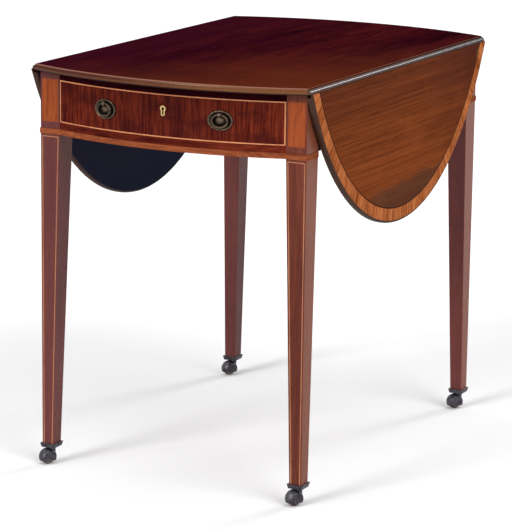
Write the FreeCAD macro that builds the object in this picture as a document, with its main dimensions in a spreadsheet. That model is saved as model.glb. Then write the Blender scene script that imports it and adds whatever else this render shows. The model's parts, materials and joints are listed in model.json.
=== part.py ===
import FreeCAD, Part
import Sketcher
import os
import re

# A pembroke table, in millimetres. X runs across the two leaves, the drawer opens towards -Y,
# Z is up, and the origin is on the floor under the middle of the top. The leaves hang at rest.

SIZES = (
    # The oval top, measured with both leaves raised
    ("table_height", "715", "floor to the polished face"),
    ("open_half_length", "533", "centre to the tip of a raised leaf"),
    ("open_half_width", "420.4", "centre to the crown of a bowed end"),
    ("edge_round_show", "3.8", "rounding of the rim at the polished face"),
    ("edge_round_under", "4", "rounding of the rim at the underside"),
    ("crossband_inset", "4.4", "rim to the crossbanding"),
    ("crossband_width", "22", "width of the crossbanding"),
    ("veneer", "0.8", "depth of veneers and of the leg stringing"),
    # The rule joint between the top and a leaf
    ("joint_line", "259.1", "centre to the pin of a leaf hinge"),
    ("joint_fillet", "2.3", "square step above the rounded edge"),
    ("joint_radius", "6.9", "rounded edge of the fixed top"),
    ("axis_rise", "2.6", "underside to the hinge pin, and the thickness of a flap"),
    ("joint_gap", "0.4", "air between the rounded edge and the hollow of the leaf"),
    # The table hinges
    ("hinge_width", "44", "length of the knuckles along the joint"),
    ("hinge_middle", "15", "length of the middle knuckle"),
    ("barrel_radius", "2.5", "outside of a knuckle"),
    ("hinge_pin_radius", "1.2", "pin of a hinge"),
    ("top_flap_length", "30", "flap under the fixed top, from the pin"),
    ("leaf_flap_length", "48", "flap under the leaf, from the pin"),
    ("screw_head_radius", "3", "countersunk head of a hinge screw"),
    ("screw_radius", "1.5", "shank of a hinge screw"),
    ("screw_length", "6", "shank of a hinge screw in the wood"),
    # Clearances
    ("running_gap", "0.3", "air beside a moving piece"),
    ("fit_gap", "0.05", "air round a pin in its hole"),
    ("overrun", "5", "how far a cut runs past the piece"),
    # Legs
    ("leg_setback", "4.2", "hinge pin to the outer side of a leg"),
    ("end_overhang", "64.7", "front of a leg to the crown of the bowed end over it"),
    ("leg_width", "38", "leg at the frame, across"),
    ("leg_depth", "42.5", "leg at the frame, front to back"),
    ("toe_width", "22.5", "leg at its toe, across"),
    ("toe_depth", "24", "leg at its toe, front to back"),
    ("frame_height", "109.3", "rails and the square part of the legs"),
    ("panel_margin", "3", "leg edge to its satinwood panel"),
    ("leg_string_margin", "2.5", "leg edge to its stringing"),
    ("leg_string_width", "1.7", "width of the leg stringing"),
    ("leg_string_drop", "3.8", "frame to the top of the leg stringing"),
    # Frame rails
    ("bow_rise", "37", "crown of the bowed front past the legs"),
    ("rail_thickness", "16", "side rail"),
    ("front_rail_height", "21.2", "rail under the drawer"),
    ("top_rail_height", "13.9", "rail over the drawer"),
    ("back_rail_depth", "22", "back rail at its ends"),
    ("tenon_length", "20", "tenons of the rails"),
    ("tenon_thickness", "8", "tenons of the rails"),
    ("tenon_margin", "14", "shoulder over and under the tenon of a tall rail"),
    ("tenon_setback", "6", "face of a leg to the tenon of a front or back rail"),
    ("apron_band_height", "9.5", "satinwood band along the foot of the frame"),
    ("apron_band_proud", "1.2", "how far that band stands out"),
    ("block_size", "26", "glue block"),
    ("block_spacing", "120", "centre to the nearer glue block"),
    # Screws that hold the top
    ("top_screw_setback", "70", "leg to an outer screw"),
    ("top_screw_radius", "2.2", "shank"),
    ("top_screw_head_radius", "4", "head"),
    ("top_screw_head_height", "3", "head"),
    ("top_screw_grip", "7", "length in the top"),
    ("pocket_drop", "28", "frame top to the seat of the head"),
    ("pocket_height", "22", "pocket under the head"),
    ("pocket_width", "11", "pocket along the rail"),
    ("pocket_depth", "10", "pocket into the rail"),
    # Fly brackets
    ("fly_setback", "8.7", "leg face to the bracket"),
    ("fly_thickness", "14.5", "bracket with its block"),
    ("fly_height", "56", "bracket"),
    ("fly_length", "205", "bracket from its pin"),
    ("fly_pivot", "100", "centre to the pin of the bracket"),
    ("fly_block_length", "75", "fixed block from the pin"),
    ("fly_finger", "20", "middle finger of the knuckle"),
    ("fly_pin_radius", "2.2", "wire pin of the knuckle"),
    ("fly_clear", "0.6", "air between the bracket and the top"),
    # Drawer
    ("drawer_gap", "0.6", "air over and under the drawer front"),
    ("drawer_side_gap", "1.2", "air between the drawer front and a leg"),
    ("drawer_guide_gap", "0.6", "air between a drawer side and its rail"),
    ("drawer_front_thickness", "20", "drawer front"),
    ("drawer_side_thickness", "9", "drawer sides"),
    ("drawer_back_thickness", "9", "drawer back"),
    ("drawer_bottom_thickness", "6", "drawer bottom"),
    ("drawer_bottom_rise", "6", "foot of the sides to the drawer bottom"),
    ("drawer_groove", "4.5", "groove for the drawer bottom"),
    ("drawer_room", "130", "end of the drawer to the back rail"),
    ("drawer_side_drop", "5", "top of the front to the top of the sides"),
    ("drawer_string_width", "2", "stringing round the drawer front"),
    ("drawer_string_depth", "2", "stringing into the drawer front"),
    ("runner_width", "18", "drawer runner"),
    ("runner_height", "13", "drawer runner"),
    ("stop_length", "20", "drawer stop"),
    ("stop_height", "10", "drawer stop"),
    # Drawer lock and keyhole plate
    ("lock_offset", "6.2", "centre of the drawer to the lock"),
    ("lock_width", "54", "lock case"),
    ("lock_height", "40", "lock case"),
    ("lock_thickness", "12", "lock case"),
    ("lock_sink", "6", "lock case let into the drawer front"),
    ("bolt_width", "14", "lock bolt"),
    ("bolt_thickness", "4", "lock bolt"),
    ("bolt_height", "22", "lock bolt"),
    ("bolt_throw", "6", "travel of the lock bolt"),
    ("bolt_gap", "0.2", "air beside the lock bolt"),
    ("keyhole_depth", "39", "top of the frame to the round of the keyhole"),
    ("keyhole_plate_radius", "5.2", "round of the keyhole plate"),
    ("keyhole_plate_drop", "8.6", "round to the rounded foot of the keyhole plate"),
    ("keyhole_plate_waist", "6.2", "keyhole plate under its round"),
    ("keyhole_plate_hem", "7.2", "keyhole plate over its rounded foot"),
    ("keyhole_plate_foot", "3.8", "rounding of the foot of the keyhole plate"),
    ("keyhole_plate_proud", "1", "how far the keyhole plate stands out of the drawer front"),
    ("keyhole_plate_sink", "0.8", "keyhole plate let into the drawer front"),
    ("keyhole_radius", "2.6", "round of the keyhole"),
    ("keyhole_slot", "2.8", "slot of the keyhole"),
    ("keyhole_drop", "10.8", "round to the foot of the keyhole"),
    # Ring handles on oval plates
    ("handle_offset", "109.2", "centre to a handle"),
    ("plate_half_width", "22.5", "oval plate"),
    ("plate_half_height", "17", "oval plate"),
    ("plate_thickness", "1.2", "oval plate"),
    ("plate_rim_width", "2.6", "raised rim"),
    ("plate_rim_height", "2.8", "raised rim"),
    ("boss_half_width", "8", "raised middle"),
    ("boss_half_height", "5.5", "raised middle"),
    ("boss_height", "1.6", "raised middle"),
    ("post_rise", "10", "middle of the plate to the post"),
    ("post_radius", "2.2", "post through the drawer front"),
    ("eye_radius", "3.7", "eye of the post"),
    ("eye_length", "5", "eye of the post"),
    ("ring_half_width", "13.8", "ring, to the middle of its wire"),
    ("ring_half_height", "10.8", "ring, to the middle of its wire"),
    ("ring_wire_radius", "1.6", "wire of the ring"),
    ("ring_stand", "5.2", "drawer front to the middle of the wire"),
    ("ring_play", "0.45", "air round the wire in the eye"),
    ("nut_radius", "5", "nut of the post"),
    ("nut_height", "4", "nut of the post"),
    ("nut_sink", "0.6", "nut let into the back of the drawer front"),
    # Castors
    ("wheel_radius", "13", "castor wheel"),
    ("wheel_width", "9", "castor wheel"),
    ("wheel_edge", "2", "bevel of the wheel"),
    ("wheel_gap", "0.6", "air round the wheel in its hood"),
    ("castor_trail", "8", "swivel to the axle"),
    ("trail_angle", "240", "way that the castors trail, from +X, in degrees"),
    ("hood_wall", "2.2", "crown of the hood"),
    ("cheek_thickness", "6", "cheeks of the hood"),
    ("hood_skirt", "7", "floor to the edge of the hood"),
    ("axle_radius", "2", "wheel axle"),
    ("neck_radius", "7", "neck over the hood"),
    ("neck_rise", "1.7", "neck over the hood"),
    ("stem_radius", "3.5", "swivel stem"),
    ("castor_gap", "0.5", "air between the neck and the cup"),
    ("cup_floor", "2.8", "floor of the cup under the toe"),
    ("cup_height", "7.8", "cup"),
    ("cup_wall", "1.4", "wall of the cup at its foot"),
    ("cup_flare", "2", "how far the lip of the cup spreads"),
)

# Where an outer hinge sits along a half of the joint, where two screws sit along a flap's width and along
# its length, and the shoulder of a thin rail's tenon
HINGE_SPACING_SHARE = 0.525
FLAP_SCREW_SHARES = (-0.27, 0.27)
FLAP_SCREW_REACH_SHARE = 0.66
THIN_TENON_SHARE = 0.25

# Sizes that follow from the sheet, each an expression of its cells
DERIVED = {
    "top_thickness": "joint_fillet + joint_radius + axis_rise",
    "frame_top": "table_height - top_thickness",
    "axis_level": "frame_top + axis_rise",
    "leaf_inner": "joint_line - axis_rise",
    "leaf_outer": "joint_line + joint_radius + joint_fillet",
    "leaf_tip": "axis_level + joint_line - open_half_length",
    "past_oval": "open_half_width + overrun",
    "hinge_spacing": f"open_half_width * {HINGE_SPACING_SHARE}",
    "knuckle_edge": "barrel_radius + running_gap",
    "leg_outer_x": "joint_line - leg_setback",
    "leg_outer_y": "open_half_width - end_overhang",
    "apron_bottom": "frame_top - frame_height",
    "leg_inner_x": "leg_outer_x - leg_width",
    "leg_inner_y": "leg_outer_y - leg_depth",
    "toe_x": "leg_outer_x - toe_width / 2",
    "toe_y": "leg_outer_y - toe_depth / 2",
    "fly_outer": "leg_outer_x - fly_setback",
    "fly_inner": "fly_outer - fly_thickness",
    "fly_top": "frame_top - fly_clear",
    "fly_bottom": "fly_top - fly_height",
    "fly_middle": "fly_bottom + fly_height / 2",
    "finger_radius": "fly_thickness / 2 - running_gap",
    "fly_shoulder": "finger_radius + running_gap",
    "rail_inner": "fly_inner - rail_thickness",
    "rail_top": "apron_bottom + front_rail_height",
    "top_rail_bottom": "frame_top - top_rail_height",
    "back_rail_inner": "leg_outer_y - back_rail_depth",
    "bow_radius": "(leg_inner_x * leg_inner_x + bow_rise * bow_rise) / (2 * bow_rise)",
    "bow_crown": "leg_outer_y + bow_rise",
    "bow_centre": "bow_crown - bow_radius",
    "past_bow": "bow_crown + overrun",
    "top_screw_spacing": "leg_inner_y - top_screw_setback",
    "pocket_seat": "frame_top - pocket_drop",
    "drawer_half": "leg_inner_x - drawer_side_gap",
    "drawer_foot": "rail_top + drawer_gap",
    "drawer_head": "top_rail_bottom - drawer_gap",
    "side_outer": "rail_inner - drawer_guide_gap",
    "side_inner": "side_outer - drawer_side_thickness",
    "side_head": "drawer_head - drawer_side_drop",
    "drawer_end": "back_rail_inner - drawer_room",
    "bottom_low": "drawer_foot + drawer_bottom_rise",
    "bottom_high": "bottom_low + drawer_bottom_thickness",
    "lock_front": "bow_crown - drawer_front_thickness + lock_sink",
    "lock_back": "lock_front - lock_thickness",
    "lock_middle": "lock_front - lock_thickness / 2",
    "bolt_foot": "drawer_head - running_gap - bolt_height",
    "keyhole_plate_level": "frame_top - keyhole_depth",
    "handle_level": "(drawer_foot + drawer_head) / 2",
    "nut_seat": "drawer_front_thickness - nut_sink",
    "eye_bore": "ring_wire_radius + ring_play",
    "hood_radius": "wheel_radius + wheel_gap + hood_wall",
    "hood_half": "wheel_width / 2 + wheel_gap + cheek_thickness",
    "neck_top": "wheel_radius + hood_radius + neck_rise",
    "cup_bottom": "neck_top + castor_gap",
    "cup_top": "cup_bottom + cup_height",
    "toe_level": "cup_bottom + cup_floor",
}

SIDES = {"left": -1, "right": 1}
ENDS = {"front": -1, "back": 1}
LEFT_AND_RIGHT = (-1, 1)
THREE_PLACES = (-1, 0, 1)

X_AXIS = FreeCAD.Vector(1, 0, 0)
Y_AXIS = FreeCAD.Vector(0, 1, 0)
Z_AXIS = FreeCAD.Vector(0, 0, 1)
RIGHT_ANGLE = 90
FULL_TURN = 360
TURNS = {
    "x": FreeCAD.Rotation(Y_AXIS, RIGHT_ANGLE),
    "-x": FreeCAD.Rotation(Y_AXIS, -RIGHT_ANGLE),
    "y": FreeCAD.Rotation(X_AXIS, -RIGHT_ANGLE),
    "z": FreeCAD.Rotation(),
}

document = FreeCAD.newDocument("pembroke_table")
sheet = document.addObject("Spreadsheet::Sheet", "Sizes")
for row, (alias, number, meaning) in enumerate(SIZES, start=1):
    sheet.set(f"A{row}", meaning)
    sheet.set(f"B{row}", number)
    sheet.setAlias(f"B{row}", alias)
document.recompute()

ALIASES = {alias for alias, number, meaning in SIZES}
nodes = {}


def spelled(text):
    """An expression with its derived sizes written out and its sheet cells named in full."""
    def word(found):
        name = found.group(0)
        if name in DERIVED:
            return f"({spelled(DERIVED[name])})"
        return f"Sizes.{name}" if name in ALIASES else name
    return re.sub(r"[a-z_]+", word, str(text))


def size(text):
    """The number that an expression of the sheet stands for now."""
    return float(sheet.evalExpression(spelled(text)))


def bind(thing, prop, text):
    thing.setExpression(prop, spelled(text))


def add(kind, name):
    return document.addObject(kind, name)


def node(label, thing):
    """Name a finished sub-part, which its file is then called."""
    thing.Label = label
    nodes[label] = thing
    return thing


def span(sign, near, far):
    """Two bounds at one side of the middle, lower first."""
    return (near, far) if sign > 0 else (f"-({far})", f"-({near})")


def about(middle, half):
    return (f"{middle} - ({half})", f"{middle} + ({half})")


def place(thing, x, y, z, along="z"):
    thing.Placement = FreeCAD.Placement(FreeCAD.Vector(), TURNS[along])
    for axis, where in zip("xyz", (x, y, z)):
        bind(thing, f"Placement.Base.{axis}", where)
    return thing


def box(name, x, y, z):
    """A block between a low and a high bound on each axis."""
    block = add("Part::Box", name)
    for side, (low, high) in zip(("Length", "Width", "Height"), (x, y, z)):
        bind(block, side, f"({high}) - ({low})")
    return place(block, x[0], y[0], z[0])


def cylinder(name, radius, start, length, along="z"):
    rod = add("Part::Cylinder", name)
    bind(rod, "Radius", radius)
    bind(rod, "Height", length)
    return place(rod, *start, along)


def taper(name, foot, head, low, high):
    """A tapered post between two rectangles, each a pair of bounds in X and a pair in Y."""
    post = add("Part::Wedge", name)
    post.Placement = FreeCAD.Placement(FreeCAD.Vector(), FreeCAD.Rotation(X_AXIS, RIGHT_ANGLE))
    bind(post, "Ymin", low)
    bind(post, "Ymax", high)
    for mark, (x, y) in (("", foot), ("2", head)):
        bind(post, f"X{mark}min", x[0])
        bind(post, f"X{mark}max", x[1])
        bind(post, f"Z{mark}min", f"-({y[1]})")
        bind(post, f"Z{mark}max", f"-({y[0]})")
    return post


def fuse(name, *pieces):
    whole = add("Part::MultiFuse", name)
    whole.Shapes = list(pieces)
    return whole


def common(name, first, second):
    shared = add("Part::Common", name)
    shared.Base = first
    shared.Tool = second
    return shared


def group(name, pieces):
    """Separate solids kept together."""
    bunch = add("Part::Compound", name)
    bunch.Links = list(pieces)
    return bunch


def cut(name, base, *tools):
    """The base less each tool in turn."""
    for step, tool in enumerate(tools):
        less = add("Part::Cut", f"{name}_{step}")
        less.Base = base
        less.Tool = tool
        base = less
    return base


def oval(name, half_x, half_y, along, low, high, centre):
    """An oval slab: its rim is an ellipse about the centre, square to the axis that it runs along."""
    rim = add("Part::Ellipse", f"{name}_rim")
    bind(rim, "MajorRadius", half_x)
    bind(rim, "MinorRadius", half_y)
    turns = {"z": FreeCAD.Rotation(), "x": FreeCAD.Rotation(Y_AXIS, -RIGHT_ANGLE),
             "y": FreeCAD.Rotation(X_AXIS, RIGHT_ANGLE)}
    rim.Placement = FreeCAD.Placement(FreeCAD.Vector(), turns[along])
    for axis, where in zip("xyz", centre):
        bind(rim, f"Placement.Base.{axis}", low if axis == along else where)
    slab = add("Part::Extrusion", name)
    slab.Base = rim
    slab.DirMode = "Custom"
    slab.Dir = {"x": X_AXIS, "y": Y_AXIS, "z": Z_AXIS}[along]
    slab.Solid = True
    slab.FaceMakerClass = "Part::FaceMakerBullseye"
    bind(slab, "LengthFwd", f"({high}) - ({low})")
    return slab


def rounded(name, slab, show):
    """The slab with both rims rounded, the polished face lying towards the show direction."""
    document.recompute()
    rims = [(edge.CenterOfMass.dot(show), number)
            for number, edge in enumerate(slab.Shape.Edges, start=1) if edge.isClosed()]
    radii = (size("edge_round_under"), size("edge_round_show"))
    soft = add("Part::Fillet", name)
    soft.Base = slab
    soft.Edges = [(number, radius, radius) for (reach, number), radius in zip(sorted(rims), radii)]
    return soft


def bow(name, end, offset, z):
    """A drum whose wall is the bowed face of one end of the frame, set out by the offset."""
    return cylinder(name, f"bow_radius + {offset}", ("0", f"{end} * (bow_centre)", z[0]),
                    f"({z[1]}) - ({z[0]})")


def bowed_strip(name, end, x, z, inside, outside):
    """A strip along the bowed face, between two offsets from it."""
    block = box(f"{name}_block", x, span(end, "leg_inner_y", "past_bow"), z)
    outer = common(f"{name}_outer", block, bow(f"{name}_drum", end, outside, z))
    return cut(f"{name}_strip", outer, bow(f"{name}_core", end, inside, z))


def rule_axis_rod(name, side, radius, half_length, middle="0"):
    """A rod along the hinge line of one leaf."""
    return cylinder(name, radius, (f"{side} * joint_line", f"{middle} - ({half_length})", "axis_level"),
                    f"2 * ({half_length})", "y")


def turned(name, outline):
    """A turned piece: an outline of radius and height, revolved about the piece's own Z."""
    body = add("PartDesign::Body", name)
    sketch = body.newObject("Sketcher::SketchObject", f"{name}_outline")
    plane = [item for item in body.Origin.OriginFeatures if item.Role == "XZ_Plane"][0]
    sketch.AttachmentSupport = [(plane, "")]
    sketch.MapMode = "FlatFace"
    corners = [FreeCAD.Vector(size(radius), size(height), 0) for radius, height in outline]
    for start, end in zip(corners, corners[1:] + corners[:1]):
        sketch.addGeometry(Part.LineSegment(start, end))
    for line, (radius, height) in enumerate(outline):
        before = (line - 1) % len(outline)
        sketch.addConstraint(Sketcher.Constraint("Coincident", before, 2, line, 1))
        for way, text in (("DistanceX", radius), ("DistanceY", height)):
            rule = sketch.addConstraint(Sketcher.Constraint(way, -1, 1, line, 1, size(text)))
            bind(sketch, f"Constraints[{rule}]", text)
    spin = body.newObject("PartDesign::Revolution", f"{name}_spin")
    spin.Profile = sketch
    spin.ReferenceAxis = (sketch, ["V_Axis"])
    spin.Angle = FULL_TURN
    return body


def flap_screw(name, x, y, z, along):
    """A countersunk screw whose head fills the thickness of a flap."""
    head = add("Part::Cone", f"{name}_head")
    bind(head, "Radius1", "screw_head_radius")
    bind(head, "Radius2", "screw_radius")
    bind(head, "Height", "axis_rise")
    shank = cylinder(f"{name}_shank", "screw_radius", ("0", "0", "axis_rise"), "screw_length")
    return place(fuse(name, head, shank), x, y, z, along)


# Each leaf hangs on three table hinges: a short flap under the top, a long flap under the leaf, and a pin.
def hinge(side, where):
    tag = f"hinge_{'l' if side < 0 else 'r'}{where + 1}"
    middle = f"{where} * hinge_spacing"
    wide = about(middle, "hinge_width / 2")
    inner = about(middle, "hinge_middle / 2")
    ends = [about(f"{middle} + {hand} * (hinge_width + hinge_middle + running_gap) / 4",
                  "(hinge_width - hinge_middle - running_gap) / 4") for hand in LEFT_AND_RIGHT]
    thick = ("frame_top", "axis_level")
    bore = rule_axis_rod(f"{tag}_bore", side, "hinge_pin_radius + fit_gap", "hinge_width", middle)

    def knuckle(name, y):
        return cylinder(name, "barrel_radius", (f"{side} * joint_line", y[0], "axis_level"),
                        f"({y[1]}) - ({y[0]})", "y")

    plate_x = span(side, "joint_line - top_flap_length", "joint_line - knuckle_edge")
    tongue_x = span(side, "joint_line - knuckle_edge", "joint_line")
    top_pieces = [box(f"{tag}_top_plate", plate_x, wide, thick)]
    for number, y in enumerate(ends):
        top_pieces.append(box(f"{tag}_top_tongue{number}", tongue_x, y, thick))
        top_pieces.append(knuckle(f"{tag}_top_knuckle{number}", y))
    top_screws = [flap_screw(f"{tag}_top_screw{number}",
                             f"{side} * (joint_line - top_flap_length * {FLAP_SCREW_REACH_SHARE})",
                             f"{middle} + hinge_width * {share}", "frame_top", "z")
                  for number, share in enumerate(FLAP_SCREW_SHARES)]
    top_flap = cut(f"{tag}_top_flap", fuse(f"{tag}_top_whole", *top_pieces), bore,
                   group(f"{tag}_top_screws", top_screws))

    across = span(side, "leaf_inner", "joint_line")
    leaf_pieces = [
        box(f"{tag}_leaf_plate", across, wide,
            ("axis_level - leaf_flap_length", "axis_level - knuckle_edge")),
        box(f"{tag}_leaf_tongue", across, inner, ("axis_level - knuckle_edge", "axis_level")),
        knuckle(f"{tag}_leaf_knuckle", inner),
    ]
    leaf_screws = [flap_screw(f"{tag}_leaf_screw{number}", f"{side} * (leaf_inner)",
                              f"{middle} + hinge_width * {share}",
                              f"axis_level - leaf_flap_length * {FLAP_SCREW_REACH_SHARE}",
                              "x" if side > 0 else "-x")
                   for number, share in enumerate(FLAP_SCREW_SHARES)]
    leaf_flap = cut(f"{tag}_leaf_flap", fuse(f"{tag}_leaf_whole", *leaf_pieces), bore,
                    group(f"{tag}_leaf_screws", leaf_screws))

    clear = about(middle, "hinge_width / 2 + running_gap")
    mortise = fuse(
        f"{tag}_mortise",
        box(f"{tag}_seat", span(side, "joint_line - top_flap_length", "joint_line"), wide,
            ("frame_top - overrun", "axis_level")),
        box(f"{tag}_passage", span(side, "joint_line - knuckle_edge", "joint_line + joint_radius + overrun"),
            clear, ("frame_top - overrun", "axis_level + running_gap")),
        rule_axis_rod(f"{tag}_groove", side, "knuckle_edge", "hinge_width / 2 + running_gap", middle))
    leaf_seat = box(f"{tag}_leaf_seat", span(side, "leaf_inner - overrun", "joint_line"), wide,
                    ("axis_level - leaf_flap_length", "axis_level"))
    pin = rule_axis_rod(f"{tag}_pin", side, "hinge_pin_radius", "hinge_width / 2", middle)
    return {"top_flap": top_flap, "top_screws": top_screws, "leaf_flap": leaf_flap,
            "leaf_screws": leaf_screws, "mortise": mortise, "leaf_seat": leaf_seat, "pin": pin}


hinges = {side: [hinge(side, where) for where in THREE_PLACES] for side in LEFT_AND_RIGHT}
all_hinges = hinges[-1] + hinges[1]
node("top_hinge_flaps", group("top_flaps", [one["top_flap"] for one in all_hinges]))
node("hinge_pins", group("pins", [one["pin"] for one in all_hinges]))
top_hinge_screws = node("top_hinge_screws",
                        group("flap_screws", [screw for one in all_hinges for screw in one["top_screws"]]))


# Pocket screws run up through the side rails into the top.
def top_screw(side, where):
    tag = f"top_screw_{'l' if side < 0 else 'r'}{where + 1}"
    x = f"{side} * (rail_inner + pocket_depth / 2)"
    y = f"{where} * top_screw_spacing"
    head = cylinder(f"{tag}_head", "top_screw_head_radius", (x, y, "pocket_seat - top_screw_head_height"),
                    "top_screw_head_height")
    shank = cylinder(f"{tag}_shank", "top_screw_radius", (x, y, "pocket_seat"),
                     "pocket_drop + top_screw_grip")
    return fuse(tag, head, shank)


def screw_pocket(side, where):
    tag = f"pocket_{'l' if side < 0 else 'r'}{where + 1}"
    return box(tag, span(side, "rail_inner - overrun", "rail_inner + pocket_depth"),
               about(f"{where} * top_screw_spacing", "pocket_width / 2"),
               ("pocket_seat - pocket_height", "pocket_seat"))


top_screws = node("top_screws", group("pocket_screws", [top_screw(side, where) for side in LEFT_AND_RIGHT
                                                        for where in THREE_PLACES]))


# The fixed top is the middle of one oval board, ended by a step and a rounded edge at each hinge line.
def oval_board(name, hung, inset, depth):
    """The oval at rest, from the polished face in: flat for the top, or hung at the right for a leaf."""
    halves = (f"open_half_length - {inset}", f"open_half_width - {inset}")
    if hung:
        return oval(name, *halves, "x", f"leaf_outer - ({depth})", "leaf_outer",
                    ("0", "0", "axis_level + joint_line"))
    return oval(name, *halves, "z", f"table_height - ({depth})", "table_height", ("0", "0", "0"))


def fixed_top():
    board = rounded("top_rounded", oval_board("top_oval", False, "0", "top_thickness"), Z_AXIS)
    middle = box("top_middle", about("0", "joint_line"), about("0", "past_oval"),
                 ("frame_top", "table_height"))
    edges = [rule_axis_rod(f"top_edge{side + 1}", side, "joint_radius", "past_oval")
             for side in LEFT_AND_RIGHT]
    fixed = common("top_fixed", board, fuse("top_core", middle, *edges))
    mortises = group("top_mortises", [one["mortise"] for one in all_hinges])
    node("top_board", cut("top", fixed, mortises, top_hinge_screws, top_screws))


def leaf_hardware(name, side):
    node(f"{name}_leaf_hinge_flaps", group(f"{name}_flaps", [one["leaf_flap"] for one in hinges[side]]))
    return node(f"{name}_leaf_hinge_screws",
                group(f"{name}_screws", [screw for one in hinges[side] for screw in one["leaf_screws"]]))


def crossband(name, reach):
    """A veneer ring near the rim of the right leaf, kept where the reach block is."""
    outer = oval_board(f"{name}_outer", True, "crossband_inset", "veneer")
    inner = oval_board(f"{name}_inner", True, "(crossband_inset + crossband_width)", "veneer")
    return common(name, cut(f"{name}_ring", outer, inner), reach)


def right_leaf(screws):
    slab = rounded("leaf_rounded", oval_board("leaf_oval", True, "0", "top_thickness"), X_AXIS)
    reach = box("leaf_reach", ("leaf_inner - overrun", "leaf_outer + overrun"), about("0", "past_oval"),
                ("leaf_tip - overrun", "axis_level - joint_gap"))
    hollow = rule_axis_rod("leaf_hollow", 1, "joint_radius + joint_gap", "past_oval")
    banding = node("right_leaf_crossband", crossband("leaf_banding", reach))
    seats = group("leaf_seats", [one["leaf_seat"] for one in hinges[1]])
    node("right_leaf", cut("leaf", common("leaf_hung", slab, reach), hollow, seats, screws, banding))


def mirrored(name, source):
    """The same piece for the left side."""
    twin = add("Part::Mirroring", name)
    twin.Source = source
    twin.Normal = X_AXIS
    return twin


fixed_top()
leaf_hardware("left", -1)
right_leaf(leaf_hardware("right", 1))
node("left_leaf", mirrored("leaf_twin", nodes["right_leaf"]))
node("left_leaf_crossband", mirrored("banding_twin", nodes["right_leaf_crossband"]))


# Rails, each with tenons let into the legs
def side_rail(name, side):
    x = span(side, "rail_inner", "fly_inner")
    board = box(f"{name}_rail_board", x, about("0", "leg_inner_y"), ("apron_bottom", "frame_top"))
    middle = f"{side} * (rail_inner + fly_inner) / 2"
    tenons = [box(f"{name}_rail_tenon{end + 1}", about(middle, "tenon_thickness / 2"),
                  span(end, "leg_inner_y", "leg_inner_y + tenon_length"),
                  ("apron_bottom + tenon_margin", "frame_top - tenon_margin")) for end in LEFT_AND_RIGHT]
    pockets = group(f"{name}_rail_pockets", [screw_pocket(side, where) for where in THREE_PLACES])
    whole = fuse(f"{name}_rail_whole", board, *tenons)
    node(f"{name}_rail", cut(f"{name}_rail_cut", whole, pockets, top_screws))
    return tenons


def bowed_rail(name, end, inner, z, margin):
    """A rail between two legs whose outer face is bowed, and its two tenons."""
    block = box(f"{name}_block", about("0", "leg_inner_x"), span(end, inner, "past_bow"), z)
    board = common(f"{name}_board", block, bow(f"{name}_drum", end, "0", z))
    tenons = [box(f"{name}_tenon{side + 1}", span(side, "leg_inner_x", "leg_inner_x + tenon_length"),
                  span(end, "leg_outer_y - tenon_setback - tenon_thickness", "leg_outer_y - tenon_setback"),
                  (f"{z[0]} + {margin}", f"{z[1]} - {margin}")) for side in LEFT_AND_RIGHT]
    return fuse(f"{name}_whole", board, *tenons), tenons


tenons = []
for name, side in SIDES.items():
    tenons += side_rail(name, side)
drawer_rail, drawer_rail_tenons = bowed_rail(
    "drawer_rail", -1, "leg_inner_y", ("apron_bottom", "rail_top"),
    f"front_rail_height * {THIN_TENON_SHARE}")
top_rail, top_rail_tenons = bowed_rail(
    "top_rail", -1, "leg_inner_y", ("top_rail_bottom", "frame_top"),
    f"top_rail_height * {THIN_TENON_SHARE}")
back_rail, back_rail_tenons = bowed_rail(
    "back_rail", 1, "back_rail_inner", ("apron_bottom", "frame_top"), "tenon_margin")
tenons += drawer_rail_tenons + top_rail_tenons + back_rail_tenons
all_tenons = group("tenons", tenons)
node("drawer_rail", drawer_rail)


# Four legs, square at the frame and tapered on their inner faces, inlaid on the front or back face
def leg_width_at(level):
    return f"(toe_width + (leg_width - toe_width) * (({level}) - toe_level) / (apron_bottom - toe_level))"


def leg_inlay(tag, side, end):
    """A satinwood panel at the frame and a line of stringing down the taper."""
    face = span(end, "leg_outer_y - veneer", "leg_outer_y")
    panel = box(f"{tag}_panel", span(side, "leg_inner_x + panel_margin", "leg_outer_x - panel_margin"), face,
                ("rail_top", "top_rail_bottom"))
    high = "apron_bottom - leg_string_drop"
    low = "cup_top"

    def field(name, margin, top, bottom):
        outer = f"leg_outer_x - ({margin})"
        inner = [f"leg_outer_x - {leg_width_at(level)} + {margin}" for level in (bottom, top)]
        return taper(name, *[(span(side, edge, outer), face) for edge in inner], bottom, top)

    outside = field(f"{tag}_string_outside", "leg_string_margin", high, low)
    inside = field(f"{tag}_string_inside", "(leg_string_margin + leg_string_width)",
                   f"{high} - leg_string_width", low)
    return panel, cut(f"{tag}_string", outside, inside)


def leg(label, side, end):
    outer_y = span(end, "leg_outer_y - toe_depth", "leg_outer_y")
    square = (span(side, "leg_inner_x", "leg_outer_x"), span(end, "leg_inner_y", "leg_outer_y"))
    shank = taper(f"{label}_shank", (span(side, "leg_outer_x - toe_width", "leg_outer_x"), outer_y), square,
                  "toe_level", "apron_bottom")
    head = box(f"{label}_head", *square, ("apron_bottom", "frame_top"))
    inlay = leg_inlay(label, side, end)
    node(label, cut(f"{label}_cut", fuse(f"{label}_whole", shank, head), all_tenons, *inlay))
    return inlay


inlays = [leg(f"leg_{end_name}_{side_name}", side, end)
          for end_name, end in ENDS.items() for side_name, side in SIDES.items()]
node("leg_panels", group("panels", [panel for panel, string in inlays]))


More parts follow.
